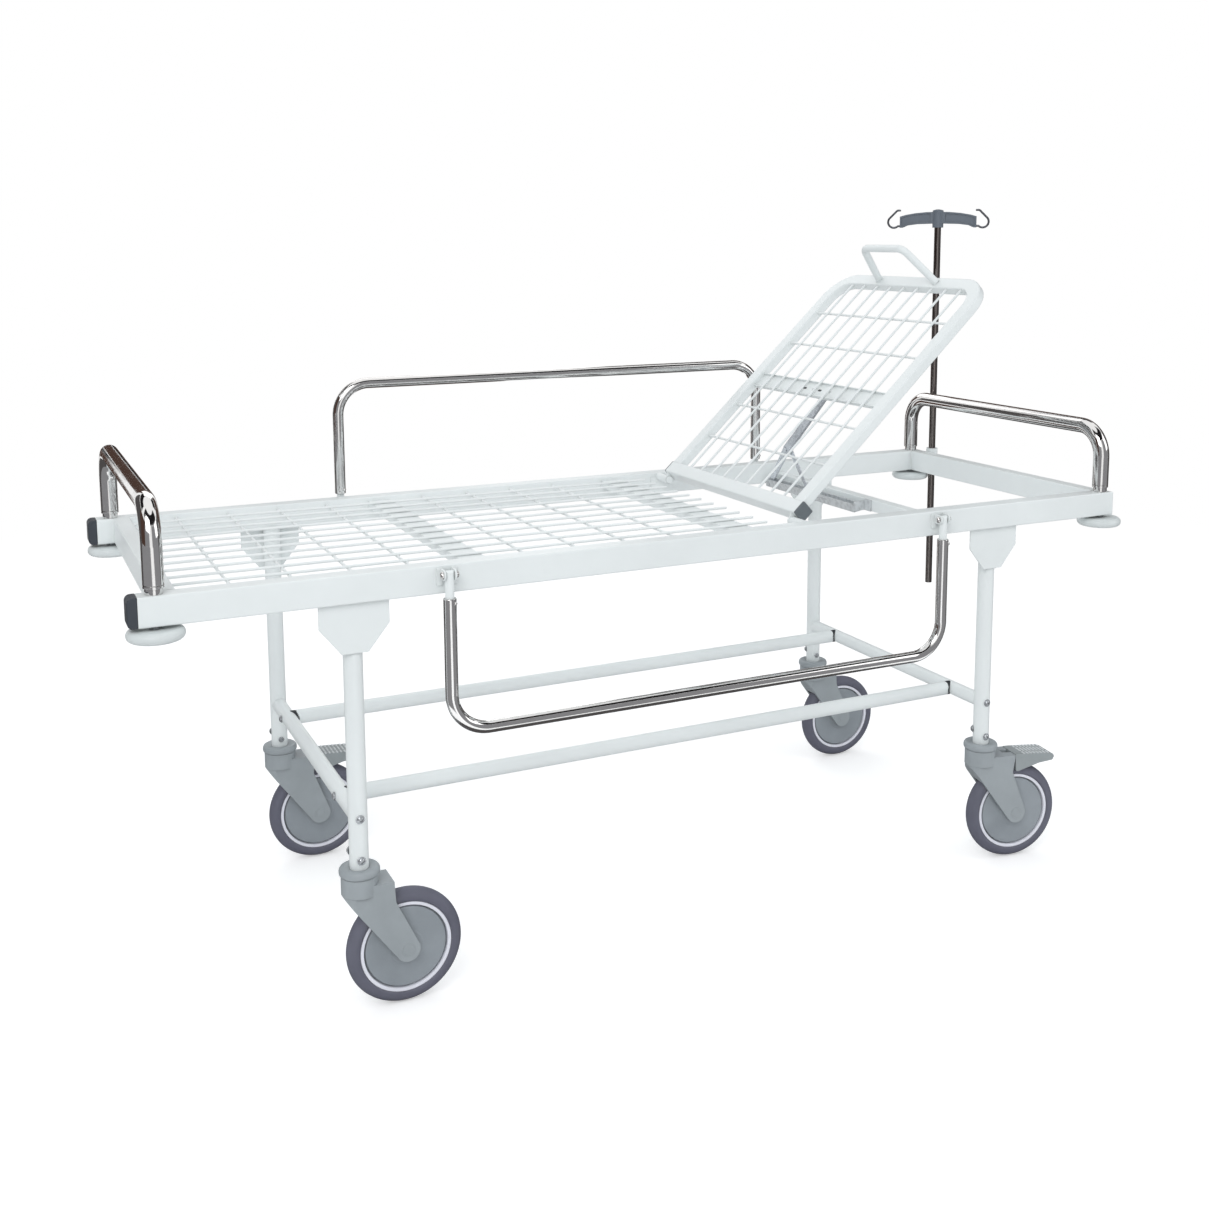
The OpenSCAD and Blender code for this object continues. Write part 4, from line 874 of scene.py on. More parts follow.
@dataclass
class Workshop:
    """What every sub-assembly needs: the frame, the finishes and a way to hand in a piece."""

    frame: dict
    softener: Softener
    made: dict[str, bpy.types.Material] = field(default_factory=dict)
    slots: dict[str, str] = field(default_factory=dict)

    def build(self) -> None:
        """Makes all the materials and the softener's group."""
        groups = EffectGroups()
        groups.build()
        for finish in FINISHES:
            self.made[finish.name] = finish.make(groups)
            self.slots[finish.name] = finish.slot
        self.softener.build()

    def paint(self, finish: str, *nodes: str, edge: float = 0.0) -> None:
        """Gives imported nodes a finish.

        Args:
            finish: The finish's name.
            nodes: The nodes.
            edge: Width of the rounding of their edges, in mm.
        """
        for node in nodes:
            thing = self.frame["nodes"][node]
            if not thing.material_slots:
                thing.data.materials.append(None)
            for entry in thing.material_slots:
                entry.link = "OBJECT"
                entry.material = self.made[finish]
            self.softener.soften(thing, edge)
            LOG.info("dressed %s in %s", node, finish)

    def hand_in(self, name: str, form: Form, body: str, finish: str, *replaced: str) -> None:
        """Finishes a new piece, fixes it to its body and hides the nodes that it stands for.

        Args:
            name: The piece's name.
            form: The piece's form.
            body: The body that it rides on.
            finish: The name of its finish.
            replaced: Nodes that it stands for.
        """
        piece = form.finish(name)
        piece.data.materials.append(self.made[finish])
        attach(piece, body)
        if replaced:
            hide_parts(*replaced)
        LOG.info("made %s on %s", name, body)


# --------------------------------------------------------------- sub-assemblies


@dataclass
class TopFrame:
    """The two long rails, the cross rails and what is fixed to them."""

    shop: Workshop
    half: float = 969.0
    outer: float = 340.0
    inner: float = 305.0
    top: float = 754.0
    height: float = 48.0
    edge: float = 2.6
    cross_x: Pair = (-939.0, 939.0)
    cross_depth: float = 30.0
    cap_out: float = 16.0
    cap_round: float = 9.0
    ratchet_x: float = 551.0
    ratchet_z: float = 718.5
    ratchet_side: float = 25.0
    lug_x: Pair = (211.0, 255.0)
    bracket_half: float = 18.0
    sleeve_y: Pair = (275.0, 287.0)

    def build(self) -> None:
        """Makes the rails, caps and weld beads, and dresses the rest."""
        self.build_rails()
        self.build_caps()
        self.build_beads()
        self.shop.paint("powder_coat", "deck_flat_bars", "guard_brackets", "backrest_hinge_pins",
                        "pole_sleeve", edge=0.5)
        self.shop.paint("bright_chrome", "push_bar_spigots", "guard_pivot_bolts")

    def build_beam(self, name: str, node: str, start: Vector, end: Vector, size: Pair) -> None:
        """Makes a straight rectangular tube with rounded edges.

        Args:
            name: The piece's name.
            node: The node that it stands for.
            start: The middle of its first end.
            end: The middle of its second end.
            size: Its width and height.
        """
        form = Form()
        form.bar([start, end], rounded_section(*size, self.edge, 5))
        self.shop.hand_in(name, form, "frame", "powder_coat", node)

    def build_rails(self) -> None:
        """Makes the long rails, the cross rails and the tube behind the ratchet."""
        z = self.top - self.height / 2
        for side in Side:
            y = side.value * (self.outer + self.inner) / 2
            self.build_beam(f"{side.word}_rail_tube", f"{side.word}_rail", at(-self.half, y, z),
                            at(self.half, y, z), (self.outer - self.inner, self.height))
        across = [(f"{end.word}_cross_rail_tube", f"{end.word}_cross_rail", x + self.cross_depth / 2, z,
                   (self.cross_depth, self.height)) for end, x in zip(End, self.cross_x)]
        across.append(("ratchet_tube", "ratchet_cross_tube", self.ratchet_x, self.ratchet_z,
                       (self.ratchet_side, self.ratchet_side)))
        for name, node, x, z, size in across:
            self.build_beam(name, node, at(x, -self.inner, z), at(x, self.inner, z), size)

    def build_caps(self) -> None:
        """Makes the black plugs with rounded corners in the foot ends of the long rails."""
        form = Form()
        low, high, out = self.top - self.height, self.top, -self.half - self.cap_out + self.cap_round
        outline = [(-self.half, low), (-self.half, high)]
        for z, start in ((high - self.cap_round, 90), (low + self.cap_round, 180)):
            outline += arc((out, z), self.cap_round, range(start, start + 91, 15))
        for side in WAYS:
            y = side * (self.outer + self.inner) / 2
            form.plate([(x - ORIGIN_X, z) for x, z in outline], self.outer - self.inner,
                       Matrix.Translation((0, y * MM, 0)) @ STAND_UP, 1.8, 4)
            form.block(at(-self.half - 1, y - 15, low + 2.2), at(-self.half + 14, y + 15, high - 2.2))
        self.shop.hand_in("rail_end_plugs", form, "frame", "cap_black", "rail_end_caps")

    def build_beads(self) -> None:
        """Makes the weld beads of the top frame."""
        form = Form()
        low, high = self.top - self.height + 2, self.top - 3
        foot, head = self.cross_x
        upright = [(x, self.inner, low, high, 1.6) for x in (foot, foot + self.cross_depth, head)]
        upright += [(self.ratchet_x + across, self.inner, 707, 730, 1.3) for across in (-12.5, 12.5)]
        upright += [(x, self.inner, 721, 744, 1.3) for x in self.lug_x]
        upright += [(x + way * self.bracket_half, self.outer, 723, 748, 1.2)
                    for x in GUARD_FEET for way in WAYS]
        for side in WAYS:
            for x, y, bottom, top, radius in upright:
                form.bead([at(x, side * y, bottom), at(x, side * y, top)], radius)
            for x in FLAT_BAR_X:
                form.bead([at(x - 21, side * self.inner, 746.4), at(x + 21, side * self.inner, 746.4)], 1.3)
        for y in self.sleeve_y:
            form.bead([at(self.half, y, low), at(self.half, y, high)], 1.4)
        self.shop.hand_in("frame_weld_beads", form, "frame", "powder_coat")


@dataclass
class Deck:
    """The welded wires of the deck."""

    shop: Workshop
    wires: int = 11
    pitch: float = 52.0
    start: float = -909.0
    end: float = 174.5
    level: float = 749.0
    half: float = 305.0
    steps: int = 46
    bite: float = 0.5
    cross: tuple[float, ...] = (-824.0, -726.0, -628.0, -530.0, -326.0, -228.0, -130.0, -32.0)

    def build(self) -> None:
        """Makes the wires, each a little out of true, with a weld at every crossing."""
        form, lips = Form(), Form()
        across = [(wire - (self.wires - 1) / 2) * self.pitch for wire in range(self.wires)]
        for wire, y in enumerate(across):
            path = [at(self.start + (self.end - self.start) * step / self.steps,
                       y + 0.35 * math.sin(step * 0.7 + wire * 1.9),
                       self.level + 0.25 * math.sin(step * 0.45 + wire * 2.3)) for step in range(self.steps + 1)]
            form.wire([at(self.start - 0.4, y, self.level), *path[1:]])
        for x in FLAT_BAR_X:
            lips.block(at(x - 22.4, -304.8, 731.0), at(x - 19.9, 304.8, 742.6), 0.5)
        self.shop.hand_in("flat_bar_lips", lips, "frame", "powder_coat")
        below = self.level - 2 * WIRE_R + self.bite
        for number, x in enumerate(self.cross):
            form.wire([at(x + 0.4 * math.sin(step * 0.8 + number), self.half * (step / 12 - 1), below)
                       for step in range(25)])
            for y in across:
                form.nugget(at(x, y, below))
        self.shop.hand_in("deck_wires", form, "frame", "wire_coat", "deck_mesh")


@dataclass
class PushBar:
    """A chrome tube bent over one end of the frame."""

    shop: Workshop
    end: End
    radius: float = 16.0
    bend: float = 60.0
    half: float = CORNER_Y
    foot: float = 768.0
    top: float = 887.0

    def build(self) -> None:
        """Makes the tube with smooth bends and turned-in rims."""
        form, x = Form(), self.end.corner_x
        form.bow([at(x, -self.half, self.foot), at(x, -self.half, self.top), at(x, self.half, self.top),
                  at(x, self.half, self.foot)], self.bend, self.radius, 0.7, 56)
        name = f"{self.end.word}_push_bar"
        self.shop.hand_in(f"{name}_tube", form, "frame", "bright_chrome", name)


@dataclass
class SideGuard:
    """A chrome tube bent to a long U that slides and swings on two hinge links."""

    shop: Workshop
    side: Side
    stored: Guard
    radius: float = 11.0
    bend: float = 65.0
    feet: Pair = GUARD_FEET
    pivot: float = 740.0
    link: float = 39.0
    reach: float = 267.0
    lift: float = 21.0
    offset: float = 355.0
    rivet_turn: float = 40.0

    def build(self) -> None:
        """Makes the tube with its rivets and dresses its links."""
        way, y = self.stored.value, self.side.value * self.offset
        slid = self.lift if self.stored is Guard.UPRIGHT else 0.0
        root, tip = (self.pivot + way * (length - slid) for length in (self.link, self.reach))
        first, second = self.feet
        form = Form()
        form.bow([at(first, y, root), at(first, y, tip), at(second, y, tip), at(second, y, root)], self.bend,
                 self.radius, 0.6, 44)
        turn = math.radians(self.rivet_turn)
        inward = Vector((-math.sin(turn), math.cos(turn), 0))
        for x in self.feet:
            seat = at(x, y, root + way * 8) - inward * ((self.radius - 0.3) * MM)
            form.bolt(seat, inward, 3.0, 1.5, 3.0)
        guard = f"{self.side.word}_guard"
        self.shop.hand_in(f"{guard}_tube", form, guard, "bright_chrome", guard)
        self.shop.paint("powder_coat", f"{guard}_links", edge=0.4)


@dataclass
class Bumper:
    """A soft round disc at a corner of the frame."""

    shop: Workshop
    end: End
    side: Side
    radius: float = 44.0
    thick: float = 18.0
    top: float = 701.0
    y: float = CORNER_Y

    def build(self) -> None:
        """Makes the disc with full, rounded edges and a slightly sunk top."""
        half, low = self.thick / 2, self.top - self.thick
        profile = [(4.1, low + 1.5), (12.0, low + 1.2), (20.0, low + 0.5),
                   *arc((self.radius - half, low + half), half, range(-90, 91, 15)),
                   (20.0, self.top - 0.4), (12.0, self.top - 0.9), (4.1, self.top - 1.0)]
        form = Form()
        form.lathe(profile, at(self.end.corner_x, self.side.value * self.y, 0), UP, 72, True)
        name = f"{self.end.word}_{self.side.word}_bumper"
        self.shop.hand_in(f"{name}_disc", form, name, "bumper_pale", name)


@dataclass
class CornerBolts:
    """The bolts that hold the bumper discs, the rails and the push bars together."""

    shop: Workshop
    y: float = CORNER_Y
    seat: float = 682.95
    washer: float = 701.05

    def build(self) -> None:
        """Makes the bolts with domed heads below and washers above the discs."""
        form = Form()
        profile = [(4, 0), (9, 0), (9.4, 0.3), (9.4, 1.3), (6.2, 1.6), (6.2, 4.9), (4, 4.9)]
        for x, y in ((end.corner_x, side * self.y) for end in End for side in WAYS):
            form.bolt(at(x, y, self.seat), UP, 94.5, 4.0, 7.0, washer=False)
            form.lathe(profile, at(x, y, self.washer), UP, 40, True)
        self.shop.hand_in("corner_bolts", form, "frame", "bolt_plate", "bumper_bolts")


@dataclass
class LowerFrame:
    """Legs, leg plates, lower tubes, saddles and bolts."""

    shop: Workshop
    leg_y: float = LEG_Y
    leg_r: float = 16.0
    leg_bottom: float = 251.0
    rail_bottom: float = 706.0
    low_z: float = 340.0
    low_r: float = 14.0
    wall: float = 2.0
    long_y: float = 214.0
    stem_bolt_z: float = 268.0
    cross_screw_z: float = 280.0
    cross_screw_turn: float = -35.0

    @property
    def leg_x(self) -> list[float]:
        """Returns where the legs stand along the stretcher."""
        return [end.leg_x for end in End]

    @property
    def legs(self) -> list[tuple[float, int]]:
        """Returns each leg's place along the stretcher and its side."""
        return [(x, side) for x in self.leg_x for side in WAYS]

    def build(self) -> None:
        """Makes the lower frame."""
        self.build_tubes()
        self.build_plates()
        self.build_bolts()
        self.build_heads()
        self.shop.paint("saddle_black", "tube_saddles", edge=0.6)

    def build_tubes(self) -> None:
        """Makes the legs and the lower tubes."""
        reach, (foot, head), z = self.leg_y - 8, self.leg_x, self.low_z
        legs = [(at(x, side * self.leg_y, self.leg_bottom), at(x, side * self.leg_y, self.rail_bottom))
                for x, side in self.legs]
        cross = [(at(x, -reach, z), at(x, reach, z)) for x in self.leg_x]
        long = [(at(foot + 15, side * self.long_y, z), at(head - 15, side * self.long_y, z)) for side in WAYS]
        for name, node, runs, radius, sides in (("leg_tubes", "legs", legs, self.leg_r, 64),
                                                ("lower_cross_bars", "lower_cross_tubes", cross, self.low_r, 56),
                                                ("lower_long_bars", "lower_long_tubes", long, self.low_r, 56)):
            form = Form()
            for start, end in runs:
                form.tube(start, end, radius, radius - self.wall, sides)
            self.shop.hand_in(name, form, "frame", "powder_coat", node)

    def build_plates(self) -> None:
        """Makes the leg plates and the beads that hold them."""
        plates, beads = Form(), Form()
        outline = [(-58, 0), (-58, -39), (-22, -84), (22, -84), (58, -39), (58, 0)]
        for x, side in self.legs:
            face = side * (self.leg_y + self.leg_r)
            spot = Matrix.Translation(at(x, face + side * 1.55, self.rail_bottom))
            plates.plate(outline, 3, spot @ STAND_UP, 0.7)
            for half, out, z, radius in ((56, 2.4, 705.6, 1.4), (12, 0.6, 621.6, 1.2)):
                beads.bead([at(x - half, face + side * out, z), at(x + half, face + side * out, z)], radius)
            beads.bead([at(x + along, side * (self.leg_y - inward), 705.3)
                        for along, inward in arc((0, 0), self.leg_r, range(0, 181, 15))], 1.5)
        self.shop.hand_in("leg_gussets", plates, "frame", "powder_coat", "leg_plates")
        self.shop.hand_in("leg_weld_beads", beads, "frame", "powder_coat")

    def build_bolts(self) -> None:
        """Makes the bolts of the legs, the stems and the lower frame."""
        form = Form()
        turn = Matrix.Rotation(math.radians(self.cross_screw_turn), 3, "Z") @ Vector((1, 0, 0))
        for x, side in self.legs:
            way, y = -1 if x > 0 else 1, side * self.leg_y
            inward, face = Vector((0, -side, 0)), y + side * (self.leg_r + 0.1)
            form.bolt(at(x, face, self.low_z), inward, 50)
            form.bolt(at(x, face, self.stem_bolt_z), inward, 36, nut=True)
            form.bolt(at(x, y, self.cross_screw_z) - turn * ((self.leg_r + 0.1) * MM), turn, 24)
            form.bolt(at(x - way * (self.low_r + 0.1), side * self.long_y, self.low_z), Vector((way, 0, 0)), 52)
        self.shop.hand_in("frame_bolts", form, "frame", "bolt_plate", "leg_bolts")

    def build_heads(self) -> None:
        """Makes the rounded collars of the swivel heads, their stems and king pins."""
        form = Form()
        profile = [(0, 213.5), (8, 213.5), (8, 240.0), (28, 240.0), (31.6, 240.4), (33.3, 241.9), (34, 244.2),
                   (34, 248.0), (33.5, 250.4), (32.1, 252.4), (30.0, 253.6), (27.4, 254), (22, 253.4),
                   (17.6, 252.3), (16.3, 251.6), (16.3, 250.7), (13.7, 250.7), (13.7, 297), (0, 297)]
        for x, side in self.legs:
            form.lathe(profile, at(x, side * self.leg_y, 0), UP, 72)
        self.shop.hand_in("swivel_collars", form, "frame", "fork_grey", "caster_heads")


@dataclass
class Caster:
    """One swivel caster: fork, wheel and tyre, and on two of them a brake pedal."""

    shop: Workshop
    end: End
    side: Side
    braked: bool
    turn: float = 0.0
    trail: float = 73.0
    wheel_r: float = 100.0
    arm_y: float = 26.5
    flange_top: float = 225.5
    leg_y: float = LEG_Y

    @property
    def word(self) -> str:
        """Returns the start of the names of this caster's nodes."""
        return f"{self.end.word}_{self.side.word}"

    @property
    def sideways(self) -> Vector:
        """Returns the direction of the axle."""
        return Matrix.Rotation(math.radians(self.turn), 3, "Z") @ Vector((0, 1, 0))

    def here(self, x: float, y: float, z: float) -> Vector:
        """Turns a place measured from the swivel axis into the model's metres."""
        place = Matrix.Rotation(math.radians(self.turn), 3, "Z") @ Vector((x, y, z))
        return at(self.end.leg_x + place.x, self.side.value * self.leg_y + place.y, z)

    def build(self) -> None:
        """Makes the caster's pieces."""
        self.shop.paint("fork_grey", f"{self.word}_fork", edge=1.2)
        self.build_axle_caps()
        self.build_wheel()
        self.build_tyre()
        if self.braked:
            self.shop.paint("pedal_grey", f"{self.word}_pedal", edge=0.8)
            self.build_ribs()

    def build_ribs(self) -> None:
        """Makes the short pale ribs that keep a shoe from slipping off the pedal."""
        form = Form()
        for x in range(89, 146, 8):
            top = self.flange_top + 1 - 5 * (x - 78) / 70
            for low, high in ((-25, -14), (-9, 9), (14, 25)):
                form.sweep([self.here(x, y, top - drop) for y, drop in
                            ((low, 1.1), (low + 1, 0.3), (high - 1, 0.3), (high, 1.1))], 1.8, 12)
        self.shop.hand_in(f"{self.word}_pedal_ribs", form, f"{self.word}_pedal", "rib_pale")

    def build_axle_caps(self) -> None:
        """Makes the flush caps over the axle's ends, each with a fine groove round it."""
        form = Form()
        profile = [(0, 0.35), (8.6, 0.35), (9.2, 0.0), (9.4, -0.5), (9.9, -0.5), (10.2, 0.05), (11.0, 0.2),
                   (11.8, 0.05), (11.9, -1.0), (0, -1.0)]
        for way in WAYS:
            form.lathe(profile, self.here(self.trail, way * self.arm_y, self.wheel_r), self.sideways * way, 48)
        self.shop.hand_in(f"{self.word}_axle_caps", form, f"{self.word}_fork", "fork_grey")

    def build_wheel(self) -> None:
        """Makes the wheel: dished cover, hub, groove and pale rim ring."""
        cover, ring = Form(), Form()
        half = [(6.15, 0.0), (6.15, 18.0), (17.0, 18.0), (18.2, 17.4), (19.0, 15.6), (21.0, 14.8), (27.0, 14.6),
                (29.5, 13.9), (31.0, 12.9), (44.0, 12.0), (58.0, 11.8), (67.2, 12.2), (69.0, 12.0), (69.9, 11.0),
                (70.2, 9.4), (70.2, 5.6), (72.9, 5.6), (72.9, 0.0)]
        centre, wheel = self.here(self.trail, 0, self.wheel_r), f"{self.word}_wheel"
        cover.lathe(half + [(r, -y) for r, y in reversed(half)], centre, self.sideways, 128, True)
        self.shop.hand_in(f"{wheel}_cover", cover, wheel, "cover_grey", wheel)
        rim = [(72.8, 5.0), (72.9, 12.4), (73.4, 13.4), (77.8, 13.8), (78.8, 13.4), (78.9, 5.0)]
        for way in WAYS:
            ring.lathe(rim, centre, self.sideways * way, 128, True)
        self.shop.hand_in(f"{self.word}_rim_ring", ring, wheel, "ring_pale")

    def build_tyre(self) -> None:
        """Makes the tyre: full shoulders, a low crown and a fine moulding seam."""
        half = [(79.0, 11.5), (79.3, 13.4), (80.6, 14.9), (83.0, 15.8), (87.0, 16.0), (90.5, 15.3), (93.6, 13.4),
                (95.8, 11.0), (97.6, 8.2), (98.9, 5.6), (99.6, 3.4), (99.9, 1.6), (100.0, 0.5)]
        form = Form()
        form.lathe(half + [(r, -y) for r, y in reversed(half)], self.here(self.trail, 0, self.wheel_r),
                   self.sideways, 144, True)
        self.shop.hand_in(f"{self.word}_tyre_tread", form, f"{self.word}_wheel", "tyre_grey", f"{self.word}_tyre")


@dataclass
class Backrest:
    """The tilting backrest with its wires, strip and handle, drawn flat in mm and then raised."""

    shop: Workshop
    tube: float = 30.0
    depth: float = 20.0
    foot: float = 10.0
    tip: float = 646.0
    half: float = 267.0
    up: float = 17.0
    corner: float = 75.0
    angle: float = 43.0
    pivot: Pair = (233.0, 745.0)
    wires: int = 9
    pitch: float = 48.0
    bite: float = 0.4
    cross_start: float = 26.0
    cross_pitch: float = 98.0
    cross: tuple[int, ...] = (1, 2, 4, 5)
    strip_x: float = 311.0
    handle_half: float = 101.0
    handle_reach: float = 97.0

    def build(self) -> None:
        """Makes the backrest's pieces."""
        self.build_frame()
        self.build_wires()
        self.build_strip_slots()
        self.build_handle()
        self.build_caps()
        self.build_beads()
        self.shop.paint("powder_coat", "backrest_strip", "backrest_lugs", edge=0.5)

    def hand_in(self, name: str, form: Form, finish: str, *replaced: str) -> None:
        """Raises a flat piece to the backrest's tilt and hands it in.

        Args:
            name: The piece's name.
            form: The piece's form, in mm.
            finish: The name of its finish.
            replaced: Nodes that it stands for.
        """
        x, z = self.pivot
        raised = Matrix.Translation(at(x, 0, z)) @ Matrix.Rotation(math.radians(-self.angle), 4, "Y")
        bmesh.ops.transform(form.mesh, matrix=raised @ Matrix.Scale(MM, 4), verts=form.mesh.verts)
        self.shop.hand_in(name, form, "backrest", finish, *replaced)

    def build_frame(self) -> None:
        """Makes the bent square tube and the bottom tube."""
        form = Form(1.0)
        y, x, z = self.half - self.tube / 2, self.tip - self.tube / 2, self.up - self.depth / 2
        start = self.foot + self.tube - 1.5
        path = rounded_path([Vector((start, -y, z)), Vector((x, -y, z)), Vector((x, y, z)),
                             Vector((start, y, z))], self.corner - self.tube / 2, 18)
        form.bar(path, rounded_section(self.tube, self.depth, 3.0))
        x, z = self.foot + self.tube / 2, self.up - self.tube / 2
        form.bar([Vector((x, -self.half, z)), Vector((x, self.half, z))],
                 rounded_section(self.tube, self.tube, 3.0))
        self.hand_in("backrest_tube", form, "powder_coat", "backrest_frame")

    def build_wires(self) -> None:
        """Makes the welded wires."""
        form = Form(1.0)
        level, first, last = self.up - 5.0, self.foot + self.tube - 0.3, self.tip - self.tube + 0.2
        across = [(wire - (self.wires - 1) / 2) * self.pitch for wire in range(self.wires)]
        for y in across:
            form.wire([Vector((first + (last - first) * step / 24, y, level)) for step in range(25)])
        below, reach = level - 2 * WIRE_R + self.bite, self.half - self.tube
        for x in (self.foot + self.cross_start + self.cross_pitch * place for place in self.cross):
            form.wire([Vector((x, -reach, below)), Vector((x, reach, below))])
            for y in across:
                form.nugget(Vector((x, y, below)))
        self.hand_in("backrest_wires", form, "wire_coat", "backrest_mesh")

    def build_strip_slots(self) -> None:
        """Makes two thin black plates in the broad strip's slots: painted shade for the dark of the open slots."""
        form = Form(1.0)
        for y in (50, -7):
            outline = (arc((self.strip_x, y + 3.4), 2.6, range(0, 180, 15))
                       + arc((self.strip_x, y - 3.4), 2.6, range(180, 360, 15)))
            form.plate(outline, 0.5, Matrix.Translation((0, 0, self.up - 12.1)), 0.1, 1)
        # Painted shade: black fills the slots, where the open holes would be in shade.
        self.hand_in("strip_slots", form, "saddle_black")

    def build_handle(self) -> None:
        """Makes the lifting handle."""
        form = Form(1.0)
        x, wide, high = self.tip - self.tube / 2, self.handle_half, self.up + self.handle_reach
        path = rounded_path([Vector((x, -wide, self.up - 0.5)), Vector((x, -70, high)), Vector((x, 70, high)),
                             Vector((x, wide, self.up - 0.5))], 22, 18)
        form.sweep(path, 8.0, 36)
        self.hand_in("lifting_handle", form, "powder_coat", "backrest_handle")

    def build_caps(self) -> None:
        """Makes the grey caps in the ends of the bottom tube."""
        form = Form(1.0)
        x, z = self.foot + self.tube / 2, self.up - self.tube / 2
        for side in WAYS:
            for out, size, radius, steps, thick, edge, segments in (
                    (2, self.tube, 3.0, 4, 4.0, 1.0, 3), (-6, self.tube - 4.2, 2.0, 3, 12.0, 0.4, 1)):
                form.plate(rounded_section(size, size, radius, steps), thick,
                           Matrix.Translation((x, side * (self.half + out), z)) @ STAND_UP, edge, segments)
        self.hand_in("backrest_plugs", form, "cap_grey", "backrest_end_caps")

    def build_beads(self) -> None:
        """Makes the weld beads of the backrest."""
        form = Form(1.0)
        low, joint, end = self.up - self.depth, self.foot + self.tube, self.tip - self.tube / 2
        for side in WAYS:
            inner, outer = side * (self.half - self.tube), side * self.half
            form.bead([Vector((joint, inner, self.up - 3)), Vector((joint, inner, low + 3))], 1.3)
            form.bead([Vector((joint, outer - side * 3, low)), Vector((joint, inner + side * 2, low))], 1.2)
            form.bead([Vector((end + 8.4 * math.cos(turn), side * 100.4 + 8.8 * math.sin(turn), self.up + 0.2))
                       for turn in (math.radians(20 * step) for step in range(19))], 1.3)
            for x in (self.strip_x - 18, self.strip_x + 18):
                form.bead([Vector((x, inner, self.up - 13)), Vector((x, inner, self.up - 9.5))], 1.2)
        self.hand_in("backrest_weld_beads", form, "powder_coat")


@dataclass
class Ratchet:
    """The linkage that props the backrest."""

    shop: Workshop

    def build(self) -> None:
        """Dresses the linkage."""
        self.shop.paint("zinc_plate", "ratchet_channel", "ratchet_brackets", edge=0.4)
        self.shop.paint("steel_plate", "ratchet_arm", "ratchet_plate", "ratchet_strut", edge=0.4)


@dataclass
class DripPole:
    """The pole with its hook bar and clamp screw."""

    shop: Workshop
    x: float = 983.0
    y: float = 281.0
    top: float = 1345.0
    low: float = 420.0
    radius: float = 8.0
    wall: float = 1.5
    turned: float = -43.0
    half: float = 91.0

    def build(self) -> None:
        """Makes the pole and its hooks and dresses the rest."""
        form = Form()
        form.tube(at(self.x, self.y, self.low), at(self.x, self.y, self.top - 4), self.radius,
                  self.radius - self.wall)
        # The pole's darker chrome is painted reflection.
        self.shop.hand_in("pole_tube", form, "drip_pole", "dark_chrome", "drip_pole")
        self.shop.paint("bar_grey", "hook_bar", edge=0.7)
        self.shop.paint("cap_black", "pole_clamp_screw", edge=0.6)
        self.build_hooks()

    def build_hooks(self) -> None:
        """Makes the two wire hooks: a round bowl, a straight rise and a short tip."""
        form = Form()
        place = Matrix.Translation(at(self.x, self.y, self.top)) @ Matrix.Rotation(math.radians(self.turned), 4, "Z")
        root = self.half + 1
        bowl = (root + 14, -26)
        line = [(root - 12, -36), (root - 2, -36), *arc(bowl, 14, range(226, 406, 9))]
        rise = arc(arc(bowl, 14, (45,))[0], 23, (135,))[0]
        line += [rise, *arc(arc(rise, 6, (225,))[0], 6, range(54, 91, 9))]
        line.append((line[-1][0] - 6, line[-1][1]))
        for way in WAYS:
            form.sweep([place @ Vector((way * x * MM, 0, z * MM)) for x, z in line],
                       [2.5] * (len(line) - 1) + [2.1], 20)
        self.shop.hand_in("hook_wires", form, "hook_bar", "dark_wire", "pole_hooks")


# ----------------------------------------------------------------------- studio

WALL_CARDS = ((20, 44, 0, 38, Tone.BROWN), (75, 33, 0, 7, Tone.BROWN), (75, 33, 7, 12, Tone.DARK),
              (75, 33, 13, 38, Tone.BROWN), (118, 42, 0, 38, Tone.GREY), (160, 42, 0, 38, Tone.BROWN),
              (-22, 42, 0, 38, Tone.GREY), (-158, 40, 0, 44, Tone.PALE), (-92, 70, 0, 44, Tone.PALE),
              (-172, 164, 45, 68, Tone.DARK), (20, 150, 40, 58, Tone.DARK))
# Painted shade: the last floor card, a grey disc round the stretcher, stands in for the floor's shadow under it where
# polished metal reflects the floor.
FLOOR_CARDS = ((18, 46, 0.9, 6.9, Tone.GREY), (75, 33, 0.9, 6.9, Tone.BROWN), (118, 44, 0.9, 6.9, Tone.GREY),
               (162, 26, 0.9, 6.9, Tone.PALE), (-24, 42, 0.9, 6.9, Tone.GREY), (-172, 54, 1.3, 6.9, Tone.PALE),
               (-92, 68, 1.3, 6.9, Tone.PALE), (-180, 360, 0.02, 0.9, Tone.GREY))


